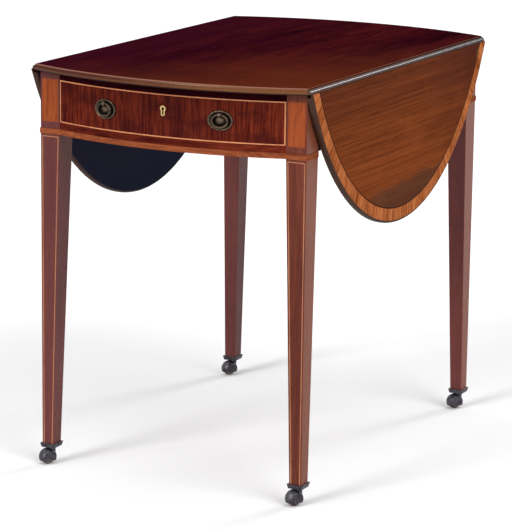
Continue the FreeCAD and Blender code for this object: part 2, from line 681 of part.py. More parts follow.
# A satinwood band runs along the foot of the bowed ends and round the outside of the legs.
def apron_band():
    z = ("apron_bottom", "apron_bottom + apron_band_height")
    strips = [bowed_strip(f"apron{end + 1}", end, about("0", "leg_inner_x"), z, "0", "apron_band_proud")
              for end in LEFT_AND_RIGHT]
    for end in LEFT_AND_RIGHT:
        for side in LEFT_AND_RIGHT:
            tag = f"apron_leg{end + 1}{side + 1}"
            whole = box(f"{tag}_block", span(side, "leg_inner_x", "leg_outer_x + apron_band_proud"),
                        span(end, "leg_inner_y", "leg_outer_y + apron_band_proud"), z)
            core = box(f"{tag}_core", span(side, "leg_inner_x", "leg_outer_x"),
                       span(end, "leg_inner_y", "leg_outer_y"), z)
            strips.append(cut(f"{tag}_wrap", whole, core))
    node("apron_band", group("band", strips))


def edge_stringing(name, end):
    """A line round the face of the drawer front, or of the sham drawer at the back."""
    z = ("drawer_foot", "drawer_head")
    face = bowed_strip(f"{name}_face", end, about("0", "drawer_half"), z, "-drawer_string_depth", "0")
    field = box(f"{name}_field", about("0", "drawer_half - drawer_string_width"),
                span(end, "leg_inner_y", "past_bow"),
                ("drawer_foot + drawer_string_width", "drawer_head - drawer_string_width"))
    return cut(name, face, field)


apron_band()
back_stringing = edge_stringing("back_string", 1)
node("frame_stringing", group("stringing", [string for panel, string in inlays] + [back_stringing]))


# Ring handles: an oval plate, an eyed post with its nut, and an oval ring hung in the eye
def at_face(thing, side, end):
    """Set a piece made at the origin on the bowed face, its -Y looking out."""
    where = f"{side} * handle_offset"
    tilt = f"asin({where} / (bow_radius))"
    reach = "bow_centre + sqrt(bow_radius * bow_radius - handle_offset * handle_offset)"
    place(thing, where, f"{end} * ({reach})", "handle_level")
    bind(thing, "Placement.Rotation.Angle", tilt if end < 0 else f"180 deg - {tilt}")
    return thing


def handle_post(tag, side, end):
    stem = cylinder(f"{tag}_stem", "post_radius", ("0", "-ring_stand", "post_rise"),
                    "ring_stand + drawer_front_thickness + nut_height", "y")
    eye = cylinder(f"{tag}_eye", "eye_radius", ("-eye_length / 2", "-ring_stand", "post_rise"),
                   "eye_length", "x")
    bore = cylinder(f"{tag}_bore", "eye_bore", ("-eye_length", "-ring_stand", "post_rise"),
                    "2 * eye_length", "x")
    return at_face(cut(f"{tag}_post", fuse(f"{tag}_solid", stem, eye), bore), side, end)


def handle_plate(tag, side, end, post):
    def layer(name, half_x, half_y, height):
        return oval(f"{tag}_{name}", half_x, half_y, "y", f"-({height})", "0", ("0", "0", "0"))

    rim = cut(f"{tag}_rim", layer("rim_outer", "plate_half_width", "plate_half_height", "plate_rim_height"),
              layer("rim_inner", "plate_half_width - plate_rim_width", "plate_half_height - plate_rim_width",
                    "plate_rim_height"))
    dish = layer("dish", "plate_half_width", "plate_half_height", "plate_thickness")
    boss = layer("boss", "boss_half_width", "boss_half_height", "boss_height")
    return cut(f"{tag}_plate", at_face(fuse(f"{tag}_whole", dish, rim, boss), side, end), post)


def handle_nut(tag, side, end, post):
    nut = cylinder(f"{tag}_nut", "nut_radius", ("0", "nut_seat", "post_rise"),
                   "nut_height", "y")
    return cut(f"{tag}_nut_bored", at_face(group(f"{tag}_nut_at_face", [nut]), side, end), post)


def nut_well(name, side):
    """A round well from the inside of the back rail to the seat of a nut."""
    well = cylinder(name, "nut_radius + running_gap", ("0", "nut_seat", "post_rise"),
                    "past_bow - back_rail_inner", "y")
    return at_face(group(f"{name}_at_face", [well]), side, 1)


def handle_ring(label, side, end):
    path = add("Part::Ellipse", f"{label}_path")
    bind(path, "MajorRadius", "ring_half_width")
    bind(path, "MinorRadius", "ring_half_height")
    path.Placement = FreeCAD.Placement(FreeCAD.Vector(), FreeCAD.Rotation(X_AXIS, RIGHT_ANGLE))
    bind(path, "Placement.Base.y", "-ring_stand")
    bind(path, "Placement.Base.z", "post_rise - ring_half_height")
    wire = add("Part::Circle", f"{label}_wire")
    bind(wire, "Radius", "ring_wire_radius")
    place(wire, "ring_half_width", "-ring_stand", "post_rise - ring_half_height")
    sweep = add("Part::Sweep", f"{label}_sweep")
    sweep.Sections = [wire]
    sweep.Spine = (path, ["Edge1"])
    sweep.Solid = True
    sweep.Frenet = True
    node(label, at_face(group(f"{label}_ring", [sweep]), side, end))


handles = {}
for end_name, end in ENDS.items():
    owner = "drawer" if end < 0 else "back"
    posts, plates, nuts = [], [], []
    for side_name, side in SIDES.items():
        tag = f"{owner}_handle_{side_name}"
        posts.append(handle_post(tag, side, end))
        plates.append(handle_plate(tag, side, end, posts[-1]))
        nuts.append(handle_nut(tag, side, end, posts[-1]))
        handle_ring(f"{owner}_ring_{side_name}", side, end)
    handles[end] = {
        "posts": node(f"{owner}_handle_posts", group(f"{owner}_posts", posts)),
        "plates": node(f"{owner}_handle_plates", group(f"{owner}_plates", plates)),
        "nuts": node(f"{owner}_handle_nuts", group(f"{owner}_nuts", nuts)),
    }
nut_wells = group("nut_wells", [nut_well(f"nut_well{side + 1}", side) for side in LEFT_AND_RIGHT])
node("back_rail", cut("back_rail_cut", back_rail, back_stringing, handles[1]["posts"], nut_wells))


# The drawer: a bowed front, two sides, a back and a bottom in grooves, with a lock behind its front
def drawer_lock():
    case_z = ("drawer_head - lock_height", "drawer_head")
    case_y = span(-1, "lock_back", "lock_front")
    case = box("lock_body", about("lock_offset", "lock_width / 2"), case_y, case_z)
    bolt_x = about("lock_offset", "bolt_width / 2")
    bolt_y = about("-(lock_middle)", "bolt_thickness / 2")
    bolt = box("bolt", bolt_x, bolt_y, ("bolt_foot", "drawer_head - running_gap"))

    def bolt_way(name, low, high):
        return box(name, about("lock_offset", "bolt_width / 2 + bolt_gap"),
                   about("-(lock_middle)", "bolt_thickness / 2 + bolt_gap"), (low, high))

    slot = bolt_way("bolt_slot", "bolt_foot - running_gap", "drawer_head + overrun")
    strike = bolt_way("bolt_strike", "top_rail_bottom - overrun", "top_rail_bottom + bolt_throw")
    node("lock_bolt", bolt)
    node("top_rail", cut("top_rail_cut", top_rail, strike))
    return case, slot


def keyhole(name):
    """The keyhole, from in front of the drawer to inside the lock case."""
    depth = "overrun + drawer_front_thickness"
    front = "-(past_bow)"
    start = ("lock_offset", front, "keyhole_plate_level")
    round_hole = cylinder(f"{name}_round", "keyhole_radius", start, depth, "y")
    slot = box(f"{name}_slot", about("lock_offset", "keyhole_slot / 2"), (front, f"{front} + {depth}"),
               ("keyhole_plate_level - keyhole_drop", "keyhole_plate_level"))
    return fuse(name, round_hole, slot)


def keyhole_plate(hole):
    """The plate, a round with a skirt that ends in a smaller round, and the same form without its hole."""
    y = ("-(bow_crown + keyhole_plate_proud)", "-(bow_crown - keyhole_plate_sink)")
    foot_level = "keyhole_plate_level - keyhole_plate_drop"

    def round_end(name, radius, level):
        return cylinder(f"keyhole_plate_{name}", radius, ("lock_offset", y[0], level),
                        "keyhole_plate_proud + keyhole_plate_sink", "y")

    crown = round_end("crown", "keyhole_plate_radius", "keyhole_plate_level")
    foot = round_end("foot", "keyhole_plate_foot", foot_level)
    skirt = taper("keyhole_plate_skirt", (about("lock_offset", "keyhole_plate_hem / 2"), y),
                  (about("lock_offset", "keyhole_plate_waist / 2"), y), foot_level, "keyhole_plate_level")
    whole = fuse("keyhole_plate_whole", crown, skirt, foot)
    node("keyhole_plate", cut("keyhole_plate_cut", whole, hole))
    return whole


def drawer():
    tall = ("drawer_foot", "drawer_head")
    inside = "-drawer_front_thickness"
    case, slot = drawer_lock()
    hole = keyhole("keyhole")
    plate = keyhole_plate(hole)
    node("lock_case", cut("lock_case_cut", case, slot, hole))
    string = node("drawer_stringing", edge_stringing("drawer_string", -1))
    bottom = node("drawer_bottom", common(
        "drawer_base", box("drawer_base_board", about("0", "side_inner + drawer_groove"),
                           ("-(bow_crown)", "drawer_end"), ("bottom_low", "bottom_high")),
        bow("drawer_base_drum", -1, f"({inside} + drawer_groove)", ("bottom_low", "bottom_high"))))
    front = bowed_strip("drawer_face", -1, about("0", "drawer_half"), tall, inside, "0")
    node("drawer_front", cut("drawer_front_cut", front, bottom, string, case, hole, plate,
                             handles[-1]["posts"], handles[-1]["nuts"]))
    walls = []
    for side in LEFT_AND_RIGHT:
        tag = f"drawer_side{side + 1}"
        board = box(f"{tag}_board", span(side, "side_inner", "side_outer"), ("-(bow_crown)", "drawer_end"),
                    ("drawer_foot", "side_head"))
        fitted = common(f"{tag}_fitted", board, bow(f"{tag}_drum", -1, inside, ("drawer_foot", "side_head")))
        walls.append(cut(tag, fitted, bottom))
    node("drawer_sides", group("drawer_walls", walls))
    back_y = ("drawer_end - drawer_back_thickness", "drawer_end")
    node("drawer_back", box("drawer_end_board", about("0", "side_inner"), back_y,
                            ("bottom_high", "side_head")))


drawer()


# What the drawer runs on, what stops it, and the glue blocks under the top
def drawer_way():
    runners, stops = [], []
    for side in LEFT_AND_RIGHT:
        x = span(side, "rail_inner - runner_width", "rail_inner")
        runners.append(box(f"runner{side + 1}", x, ("-(leg_inner_y)", "back_rail_inner"),
                           ("rail_top - runner_height", "rail_top")))
        stop_y = ("drawer_end + running_gap", "drawer_end + running_gap + stop_length")
        stops.append(box(f"stop{side + 1}", x, stop_y, ("rail_top", "rail_top + stop_height")))
    node("drawer_runners", group("runners", runners))
    node("drawer_stops", group("stops", stops))
    block_y = ("back_rail_inner - block_size", "back_rail_inner")
    blocks = [box(f"block{side + 1}", about(f"{side} * block_spacing", "block_size / 2"), block_y,
                  ("frame_top - block_size", "frame_top")) for side in LEFT_AND_RIGHT]
    node("glue_blocks", group("blocks", blocks))


drawer_way()


# Fly brackets swing out under a raised leaf on a wooden knuckle: two fingers on the block, one on the fly.
def fly(name, side):
    middle = f"{side} * (fly_inner + fly_thickness / 2)"
    x = span(side, "fly_inner", "fly_outer")
    fly_x = span(side, "fly_inner + running_gap", "fly_outer")
    tall = ("fly_bottom", "fly_top")
    centre = ("fly_middle - fly_finger / 2", "fly_middle + fly_finger / 2")
    outer = (("fly_bottom", f"{centre[0]} - running_gap"), (f"{centre[1]} + running_gap", "fly_top"))

    def finger(tag, y, z):
        rod = cylinder(f"{tag}_rod", "finger_radius", (middle, "fly_pivot", z[0]), f"({z[1]}) - ({z[0]})")
        web = box(f"{tag}_web", about(middle, "finger_radius"), y, z)
        return [rod, web]

    block_y = ("fly_pivot + fly_shoulder", "fly_pivot + fly_block_length")
    block = [box(f"{name}_block_body", x, block_y, tall)]
    for number, z in enumerate(outer):
        block += finger(f"{name}_block_finger{number}", ("fly_pivot", "fly_pivot + fly_shoulder"), z)
    arm = [box(f"{name}_fly_body", fly_x, ("fly_pivot - fly_length", "fly_pivot - fly_shoulder"), tall)]
    arm += finger(f"{name}_fly_finger", ("fly_pivot - fly_shoulder", "fly_pivot"), centre)
    bore = cylinder(f"{name}_fly_bore", "fly_pin_radius + fit_gap",
                    (middle, "fly_pivot", "fly_bottom - overrun"), "fly_height + 2 * overrun")
    pin = cylinder(f"{name}_fly_pin", "fly_pin_radius", (middle, "fly_pivot", "fly_bottom"), "fly_height")
    node(f"{name}_fly", cut(f"{name}_fly_cut", fuse(f"{name}_fly_whole", *arm), bore))
    return cut(f"{name}_block_cut", fuse(f"{name}_block_whole", *block), bore), pin


flies = [fly(name, side) for name, side in SIDES.items()]
node("fly_blocks", group("fixed_blocks", [block for block, pin in flies]))
node("fly_pins", group("wire_pins", [pin for block, pin in flies]))


# Castors: a square cup on the toe, a hooded horn that swivels in it, and a wheel on an axle
def at_toe(thing, side, end):
    place(thing, f"{side} * (toe_x)", f"{end} * (toe_y)", "0")
    bind(thing, "Placement.Rotation.Angle", "trail_angle")
    return thing


def castor_cup(tag, side, end):
    centre_x = f"{side} * (toe_x)"
    centre_y = f"{end} * (toe_y)"

    def section(spread):
        return about(centre_x, f"toe_width / 2 + {spread}"), about(centre_y, f"toe_depth / 2 + {spread}")

    dish = taper(f"{tag}_dish", section("cup_wall"), section("cup_wall + cup_flare"),
                 "cup_bottom", "cup_top")
    hole = cylinder(f"{tag}_hole", "stem_radius + fit_gap", (centre_x, centre_y, "cup_bottom - overrun"),
                    "cup_floor + overrun")
    return cut(f"{tag}_cup", dish, nodes[tag.replace("castor", "leg")], hole)


def castor_hood(tag, side, end):
    ball = add("Part::Sphere", f"{tag}_ball")
    bind(ball, "Radius", "hood_radius")
    place(ball, "castor_trail", "0", "wheel_radius")
    slab = box(f"{tag}_slab", about("castor_trail", "hood_radius + overrun"), about("0", "hood_half"),
               ("hood_skirt", "wheel_radius + hood_radius + overrun"))
    neck = cylinder(f"{tag}_neck", "neck_radius", ("0", "0", "wheel_radius"), "neck_top - wheel_radius")
    stem = cylinder(f"{tag}_stem", "stem_radius", ("0", "0", "wheel_radius"),
                    "toe_level - running_gap - wheel_radius")

    def on_axle(name, radius, half):
        start = ("castor_trail", f"-({half})", "wheel_radius")
        return cylinder(f"{tag}_{name}", radius, start, f"2 * ({half})", "y")

    whole = fuse(f"{tag}_whole", common(f"{tag}_shell", ball, slab), neck, stem)
    cavity = on_axle("cavity", "wheel_radius + wheel_gap", "wheel_width / 2 + wheel_gap")
    hole = on_axle("axle_hole", "axle_radius + fit_gap", "2 * (hood_half)")
    axle = on_axle("axle", "axle_radius", "hood_half")
    horn = cut(f"{tag}_horn", whole, cavity, hole)
    node(f"{tag}_hood", at_toe(group(f"{tag}_hood_group", [horn, axle]), side, end))


def castor_wheel(tag, side, end):
    half = "wheel_width / 2"
    bore = "axle_radius + fit_gap"
    flat = "wheel_radius - wheel_edge"
    wheel = turned(f"{tag}_disc", (
        (bore, f"-{half}"), (flat, f"-{half}"), ("wheel_radius", f"wheel_edge - {half}"),
        ("wheel_radius", f"{half} - wheel_edge"), (flat, half), (bore, half)))
    place(wheel, "castor_trail", "0", "wheel_radius", "y")
    node(f"{tag}_wheel", at_toe(group(f"{tag}_wheel_group", [wheel]), side, end))


cups = []
for end_name, end in ENDS.items():
    for side_name, side in SIDES.items():
        tag = f"castor_{end_name}_{side_name}"
        cups.append(castor_cup(tag, side, end))
        castor_hood(tag, side, end)
        castor_wheel(tag, side, end)
node("castor_cups", group("cups", cups))

document.recompute()
failed = [thing.Name for thing in document.Objects if {"Invalid", "Error"} & set(thing.State)]
if failed:
    raise RuntimeError(f"features that did not build: {failed}")
for label, thing in nodes.items():
    if thing.Shape.isNull() or not thing.Shape.isValid() or not thing.Shape.Solids:
        raise RuntimeError(f"no sound solid in {label}")

os.makedirs("parts", exist_ok=True)
for label, thing in nodes.items():
    thing.Shape.exportStep(f"parts/{label}.step")
    print(f"{label}: {len(thing.Shape.Solids)} solids, {thing.Shape.Volume:.1f} cubic mm")
print(f"{len(nodes)} sub-parts")
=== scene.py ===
"""Looks of a pembroke table: polished woods, aged brass, cast handle plates and rings, and a studio."""
import json
import math

import bpy
import numpy as np
from mathutils import Matrix, Vector


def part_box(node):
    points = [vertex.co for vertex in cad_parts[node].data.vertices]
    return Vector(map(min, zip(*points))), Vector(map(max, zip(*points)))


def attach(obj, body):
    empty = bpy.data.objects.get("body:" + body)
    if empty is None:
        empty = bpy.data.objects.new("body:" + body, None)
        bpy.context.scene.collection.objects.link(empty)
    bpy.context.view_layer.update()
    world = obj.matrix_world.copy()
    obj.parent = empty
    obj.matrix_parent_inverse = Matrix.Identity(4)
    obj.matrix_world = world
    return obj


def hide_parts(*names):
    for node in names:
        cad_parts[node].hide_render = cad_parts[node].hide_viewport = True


bl_info = {
    "name": "Pembroke table looks",
    "version": (1, 0, 0),
    "blender": (4, 5, 0),
    "location": "View3D > Sidebar > Table",
    "description": "Finishes a pembroke table and sets up its studio",
    "category": "Object",
}

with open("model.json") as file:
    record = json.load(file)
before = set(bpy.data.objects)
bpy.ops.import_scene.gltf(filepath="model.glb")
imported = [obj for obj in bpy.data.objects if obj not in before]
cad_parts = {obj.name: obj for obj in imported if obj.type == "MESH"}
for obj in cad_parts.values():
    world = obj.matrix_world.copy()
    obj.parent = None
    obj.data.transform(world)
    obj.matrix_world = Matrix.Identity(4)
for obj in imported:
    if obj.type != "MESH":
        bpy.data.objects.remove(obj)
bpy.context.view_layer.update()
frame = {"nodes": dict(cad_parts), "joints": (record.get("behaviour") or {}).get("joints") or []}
JOINTS = {joint["name"]: joint for joint in frame["joints"]}

# Like pieces that share a finish
SIDES = ("left", "right")
CORNERS = [f"{end}_{side}" for end in ("front", "back") for side in SIDES]
LEGS = [f"leg_{corner}" for corner in CORNERS]
HOODS = [f"castor_{corner}_hood" for corner in CORNERS]
WHEELS = [f"castor_{corner}_wheel" for corner in CORNERS]
LEAVES = [f"{side}_leaf" for side in SIDES]
CROSSBANDS = [f"{leaf}_crossband" for leaf in LEAVES]
OAK_PIECES = ["left_rail", "right_rail", "drawer_sides", "drawer_back", "drawer_bottom", "drawer_runners",
              "drawer_stops", "glue_blocks", "fly_blocks", "left_fly", "right_fly"]
BRASS_PIECES = ["drawer_handle_posts", "drawer_handle_nuts", "back_handle_posts", "back_handle_nuts",
                "lock_bolt"]
IRON_PIECES = ["top_hinge_flaps", "hinge_pins", "top_hinge_screws", "left_leaf_hinge_flaps",
               "right_leaf_hinge_flaps", "left_leaf_hinge_screws", "right_leaf_hinge_screws", "top_screws",
               "fly_pins", "lock_case"]

# The oval of the open top, as it lies in a hanging leaf: its middle is above the leaf.
HINGE = Vector(JOINTS["right_leaf_hinge"]["pos_m"])
OVAL_MIDDLE = HINGE.z + HINGE.x
OVAL_HALF_LENGTH = OVAL_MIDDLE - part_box("right_leaf")[0].z
OVAL_HALF_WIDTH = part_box("top_board")[1].y
BANDING_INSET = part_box("right_leaf_crossband")[0].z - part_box("right_leaf")[0].z
LEAF_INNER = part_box("right_leaf")[0].x
LEG_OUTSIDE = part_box("leg_front_right")[1].x
TOP_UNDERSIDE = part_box("top_board")[0].z
TOP_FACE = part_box("top_board")[1].z

# How deep a colour that lies on one face goes into the piece: where it ends, and where it is full
UNDERSIDE_SKIN = (0.0006, 0.0001)
OUTSIDE_SKIN = (0.0008, 0.0002)

# Specular levels of the flat woods, the legs and the cast brass, and how metallic the aged metals are
FLAT_POLISH = 0.0
LEG_POLISH = 0.12
CAST_POLISH = 0.1
AGED_METAL = 0.75

# Grain of the woods: how fine the figure and the streaks are, how far they are drawn out, and how wavy
TOP_GRAIN = {"figure": 16.0, "streaks": 150.0, "stretch": 9.0, "waviness": 0.04}
LEAF_GRAIN = {"figure": 16.0, "streaks": 330.0, "stretch": 40.0, "waviness": 0.006}
BAND_GRAIN = {"figure": 12.0, "streaks": 150.0, "stretch": 9.0, "waviness": 0.02}
LEG_GRAIN = {"figure": 20.0, "streaks": 170.0, "stretch": 10.0, "waviness": 0.02}
FRONT_GRAIN = {"figure": 34.0, "streaks": 230.0, "stretch": 6.0, "waviness": 0.012}
SATIN_GRAIN = {"figure": 30.0, "streaks": 240.0, "stretch": 8.0, "waviness": 0.03}
BOX_GRAIN = {"figure": 40.0, "streaks": 200.0, "stretch": 6.0, "waviness": 0.02}
OAK_GRAIN = {"figure": 18.0, "streaks": 190.0, "stretch": 12.0, "waviness": 0.02}

# Where the worn patch of a leaf is towards the back, as a share of half the top's width
WORN_SHARE = 0.825

# What is left of the dark colour in lines and pores, and of a metal's own colour where it is dull
DEEP_SHARE = 0.45
KEYHOLE_DULL_SHARE = 0.55
IRON_DULL_SHARE = 0.4

# Where the boss of a handle plate ends, its rim starts and its rim is highest, as shares of its outline, and
# how far the edge turns over
BOSS_SHARE = 0.42
HOLLOW_SHARE = 0.75
CREST_SHARE = 0.92
EDGE_TURN = math.radians(75.0)

# Rows of points on a plate's boss, rim and edge, and points round a plate, along a ring and round its wire
BOSS_ROWS = 7
RIM_ROWS = 6
EDGE_ROWS = 3
PLATE_POINTS = 96
RING_POINTS = 96
WIRE_POINTS = 20
UP = np.array([0.0, 0.0, 1.0])


def colour(label, about, value):
    return bpy.props.FloatVectorProperty(name=label, description=about, default=value, size=3,
                                         min=0.0, max=1.0, subtype="COLOR")


def length(label, about, value):
    return bpy.props.FloatProperty(name=label, description=about, default=value, subtype="DISTANCE",
                                   unit="LENGTH")


def strength(label, about, value):
    return bpy.props.FloatProperty(name=label, description=about, default=value, min=0.0)


class WoodColours(bpy.types.PropertyGroup):
    # Painted shade: the fixed top's streaks are the leaves' mahogany painted much darker
    painted_shade_top_dark: colour("Top, dark", "Dark streaks of the fixed top", (0.010, 0.0006, 0.0040))
    painted_shade_top_light: colour("Top, light", "Light streaks of the fixed top", (0.064, 0.0066, 0.0072))
    # Painted light: browner towards the front right corner of the top
    top_painted_light: colour("Top, corner", "Browner polish towards the front right corner",
                       (0.105, 0.021, 0.007))
    # Painted shade: purple towards the left of the top
    top_painted_shade: colour("Top, shaded", "Fixed top towards its left side", (0.028, 0.0024, 0.0090))
    leaf_dark: colour("Leaf, dark", "Dark streaks of the leaves", (0.100, 0.0235, 0.0085))
    leaf_light: colour("Leaf, light", "Light streaks of the leaves", (0.258, 0.066, 0.0175))
    # Painted shade: darker towards the back of the leaves and down from the rule joints
    leaf_painted_shade: colour("Leaf, back", "Darker polish towards the back of the leaves", (0.046, 0.0120, 0.0110))
    # Painted shade: greyer and darker low on the leaves
    leaf_low_painted_shade: colour("Leaf, low", "Greyer polish low on the leaves", (0.066, 0.033, 0.021))
    front_dark: colour("Front, dark", "Dark strokes of the drawer front and rail", (0.034, 0.0036, 0.0040))
    front_light: colour("Front, light", "Light strokes of the drawer front and rail", (0.190, 0.029, 0.0125))
    leg_dark: colour("Legs, dark", "Dark streaks of the legs", (0.072, 0.0130, 0.0080))
    leg_light: colour("Legs, light", "Light streaks of the legs", (0.176, 0.0415, 0.0220))
    # Painted shade: purple on all legs but the front right one
    leg_painted_shade: colour("Legs, purple", "Purple polish of all legs but the front right one",
                      (0.112, 0.037, 0.042))
    # Painted light: lighter outer faces of the right legs
    leg_painted_light: colour("Legs, right faces", "Faded polish on the outer faces of the right legs",
                     (0.220, 0.068, 0.0340))
    band_dark: colour("Crossbanding, dark", "Dark streaks of the crossbanding", (0.184, 0.0410, 0.0100))
    band_light: colour("Crossbanding, light", "Light streaks of the crossbanding", (0.500, 0.165, 0.056))
    satin_dark: colour("Satinwood, dark", "Dark streaks of the satinwood", (0.205, 0.043, 0.0150))
    satin_light: colour("Satinwood, light", "Light streaks of the satinwood", (0.345, 0.080, 0.0270))
    apron_dark: colour("Apron band, dark", "Dark streaks of the band under the frame",
                       (0.150, 0.034, 0.014))
    apron_light: colour("Apron band, light", "Light streaks of the band under the frame",
                        (0.330, 0.092, 0.036))
    box_dark: colour("Boxwood, dark", "Dark streaks of the stringing", (0.480, 0.170, 0.075))
    box_light: colour("Boxwood, light", "Light streaks of the stringing", (0.700, 0.300, 0.140))
    string_dark: colour("Leg stringing, dark", "Dark streaks of the worn stringing", (0.300, 0.115, 0.060))
    string_light: colour("Leg stringing, light", "Light streaks of the worn stringing",
                         (0.480, 0.225, 0.120))
    oak_dark: colour("Oak, dark", "Dark streaks of the unseen oak", (0.120, 0.070, 0.036))
    oak_light: colour("Oak, light", "Light streaks of the unseen oak", (0.260, 0.165, 0.085))
    front_cloud: colour("Front, clouds", "Dark clouds of the drawer front", (0.030, 0.005, 0.006))
    rim: colour("Rim", "Rounded edge of the fixed top", (0.062, 0.016, 0.0075))
    # Painted light towards the corner, and a painted reflection as a light line low on the rim
    rim_painted_light: colour("Rim, corner", "Rounded edge of the top towards the front right corner",
                      (0.180, 0.072, 0.0240))
    # Painted highlight on the edge over the rim and along the rule joints
    arris_painted_highlight: colour("Rubbed edges", "Edges over the rim and along the rule joints", (0.240, 0.100, 0.060))
    # Painted shade on the leaves' rims
    leaf_rim_painted_shade: colour("Leaf rim", "Dark polish of the rims of the leaves", (0.042, 0.022, 0.015))
    # Painted shade on the nosings
    nosing_with_painted_shade: colour("Nosing", "Dark polish of the rounded sides of the fixed top", (0.020, 0.012, 0.010))
    # Real dark lines inside the crossbanding, and painted shadow at the foot of the top's rim
    dark_line: colour("Dark lines", "Lines inside the crossbanding and at the rim's foot",
                      (0.020, 0.008, 0.006))
    # Painted shade on the undersides and on the leaves' inner faces
    underside_painted_shade: colour("Underside", "Dark stain of the undersides", (0.0150, 0.0215, 0.0410))
    worn: colour("Worn corner", "Pale wood where the polish is rubbed off", (0.330, 0.215, 0.075))


class MetalColours(bpy.types.PropertyGroup):
    brass_high: colour("Brass, rubbed", "Brass on rubbed edges", (0.165, 0.115, 0.075))
    brass_low: colour("Brass, dark", "Brass in the hollows", (0.006, 0.005, 0.0035))
    castor_high: colour("Castor, rubbed", "Castor cups and hoods on rubbed edges", (0.088, 0.082, 0.096))
    castor_low: colour("Castor, dark", "Castor cups and hoods in the hollows", (0.014, 0.013, 0.018))
    wheel_high: colour("Wheel, rubbed", "Castor wheels on rubbed edges", (0.260, 0.180, 0.165))
    wheel_low: colour("Wheel, dark", "Castor wheels in the hollows", (0.040, 0.022, 0.021))
    keyhole: colour("Keyhole plate", "Bright brass round the keyhole", (0.680, 0.480, 0.200))
    iron: colour("Iron", "Hinges, screws and lock", (0.028, 0.026, 0.025))


class PieceSizes(bpy.types.PropertyGroup):
    banding_width: length("Crossbanding", "Width of the crossbanding", 0.022)
    banding_line: length("Dark line", "Width of the dark line inside the crossbanding", 0.0016)
    ring_stand: length("Ring stand", "Bowed face to the middle of a ring's wire", 0.0052)
    ring_wire: length("Ring wire", "Radius of a ring's wire at its top", 0.0016)
    ring_foot: length("Ring foot", "Radius of a ring's wire at its foot", 0.0022)
    plate_half_width: length("Plate", "Half the width of a handle plate", 0.0225)
    plate_rim: length("Plate rim", "Height of a handle plate's rim", 0.0028)
    plate_boss: length("Plate boss", "Height of the boss in the middle of a handle plate", 0.0028)
    plate_dish: length("Plate dish", "Thickness of a handle plate in its hollow", 0.0009)


class PolishSizes(bpy.types.PropertyGroup):
    fade: length("Fade", "Width over which narrow lines of polish fade", 0.0008)
    rim_reach: length("Rim", "Reach of the rim's polish in from the edge of the top", 0.0040)
    rim_fade: length("Rim fade", "Width over which the polish of the top's rim fades", 0.0010)
    nosing_fade: length("Nosing fade", "Width over which the polish of the nosings fades", 0.0004)
    # Painted highlight on the upper edge of the rim
    highlight_reach: length("Upper edge", "Reach of the rubbed upper edge in from the edge of the top", 0.0048)
    highlight_depth: length("Upper edge depth", "Depth of the rubbed upper edge under the face", 0.0017)
    # Painted reflection: the light line low on the rim
    reflection_start: length("Rim line, start", "Depth at which the light line of the rim starts", 0.0062)
    reflection_end: length("Rim line, end", "Depth at which the light line of the rim ends", 0.0088)
    # Painted shadow at the foot of the rim
    rim_shadow_start: length("Rim foot", "Depth at which the dark foot of the rim starts", 0.0086)
    rim_shadow_fade: length("Rim foot fade", "Width over which the dark foot of the rim fades", 0.0012)
    # Painted highlight along each rule joint
    joint_highlight_width: length("Joint line", "Half the width of the rubbed line along a rule joint", 0.0010)
    joint_highlight_depth: length("Joint line depth", "Depth of the rubbed line along a rule joint", 0.0012)
    # Painted shade on the leaves' rims
    leaf_rim_shade_reach: length("Leaf rim", "Reach of the rim's polish in from the edge of a leaf", 0.0042)
    leaf_rim_shade_fade: length("Leaf rim fade", "Width over which the polish of a leaf's rim fades", 0.0012)
    # Painted shade down from the rule joint
    joint_painted_shade: length("Joint shade", "Reach of the darker polish down from a rule joint", 0.11)
    # Painted shade low on the leaves
    low_shade_height: length("Low zone", "Height under which the polish of a hanging leaf is greyer", 0.512)
    low_shade_fade: length("Low zone fade", "Height over which the greyer polish fades", 0.018)
    worn_drop: length("Worn patch, drop", "Worn patch under the rule joint", 0.026)
    worn_reach: length("Worn patch, reach", "Radius at which the worn patch ends", 0.030)
    worn_core: length("Worn patch, core", "Radius inside which the worn patch is full", 0.014)


class StudioSettings(bpy.types.PropertyGroup):
    camera_place: bpy.props.FloatVectorProperty(
        name="Camera", description="Place of the camera", default=(2.1245, -4.1778, 1.3955), subtype="XYZ",
        unit="LENGTH")
    camera_turn: bpy.props.FloatProperty(
        name="Turn", description="Camera's turn to the left of straight ahead", default=0.4739,
        subtype="ANGLE")
    camera_dip: bpy.props.FloatProperty(
        name="Dip", description="Camera's look down", default=0.2257, subtype="ANGLE")
    camera_roll: bpy.props.FloatProperty(
        name="Roll", description="Camera's roll", default=0.0128, subtype="ANGLE")
    focal_pixels: bpy.props.FloatProperty(
        name="Focal length in pixels", description="Focal length of the picture", default=2646.2)
    picture_height: bpy.props.FloatProperty(
        name="Picture height", description="Longer side of the picture in pixels", default=530.0)
    floor_half: length("Floor", "Half the width of the floor", 40.0)
    floor_colour: colour("Floor colour", "Pale floor", (0.92, 0.92, 0.92))
    room_colour: colour("Room", "Dim room round the studio", (0.030, 0.026, 0.034))
    wall_colour: colour("Walls", "Walls in the picture and in reflections", (1.0, 1.0, 1.0))
    key_strength: strength("Key light", "Broad light from the front left", 0.6)
    glint_strength: strength("Glint", "Small light from the front left", 1.5)
    side_strength: strength("Side light", "Light from the right", 1.5)
    back_strength: strength("Back light", "Light from behind", 0.9)
    sky_strength: strength("Overhead light", "Wide light from above", 1.6)


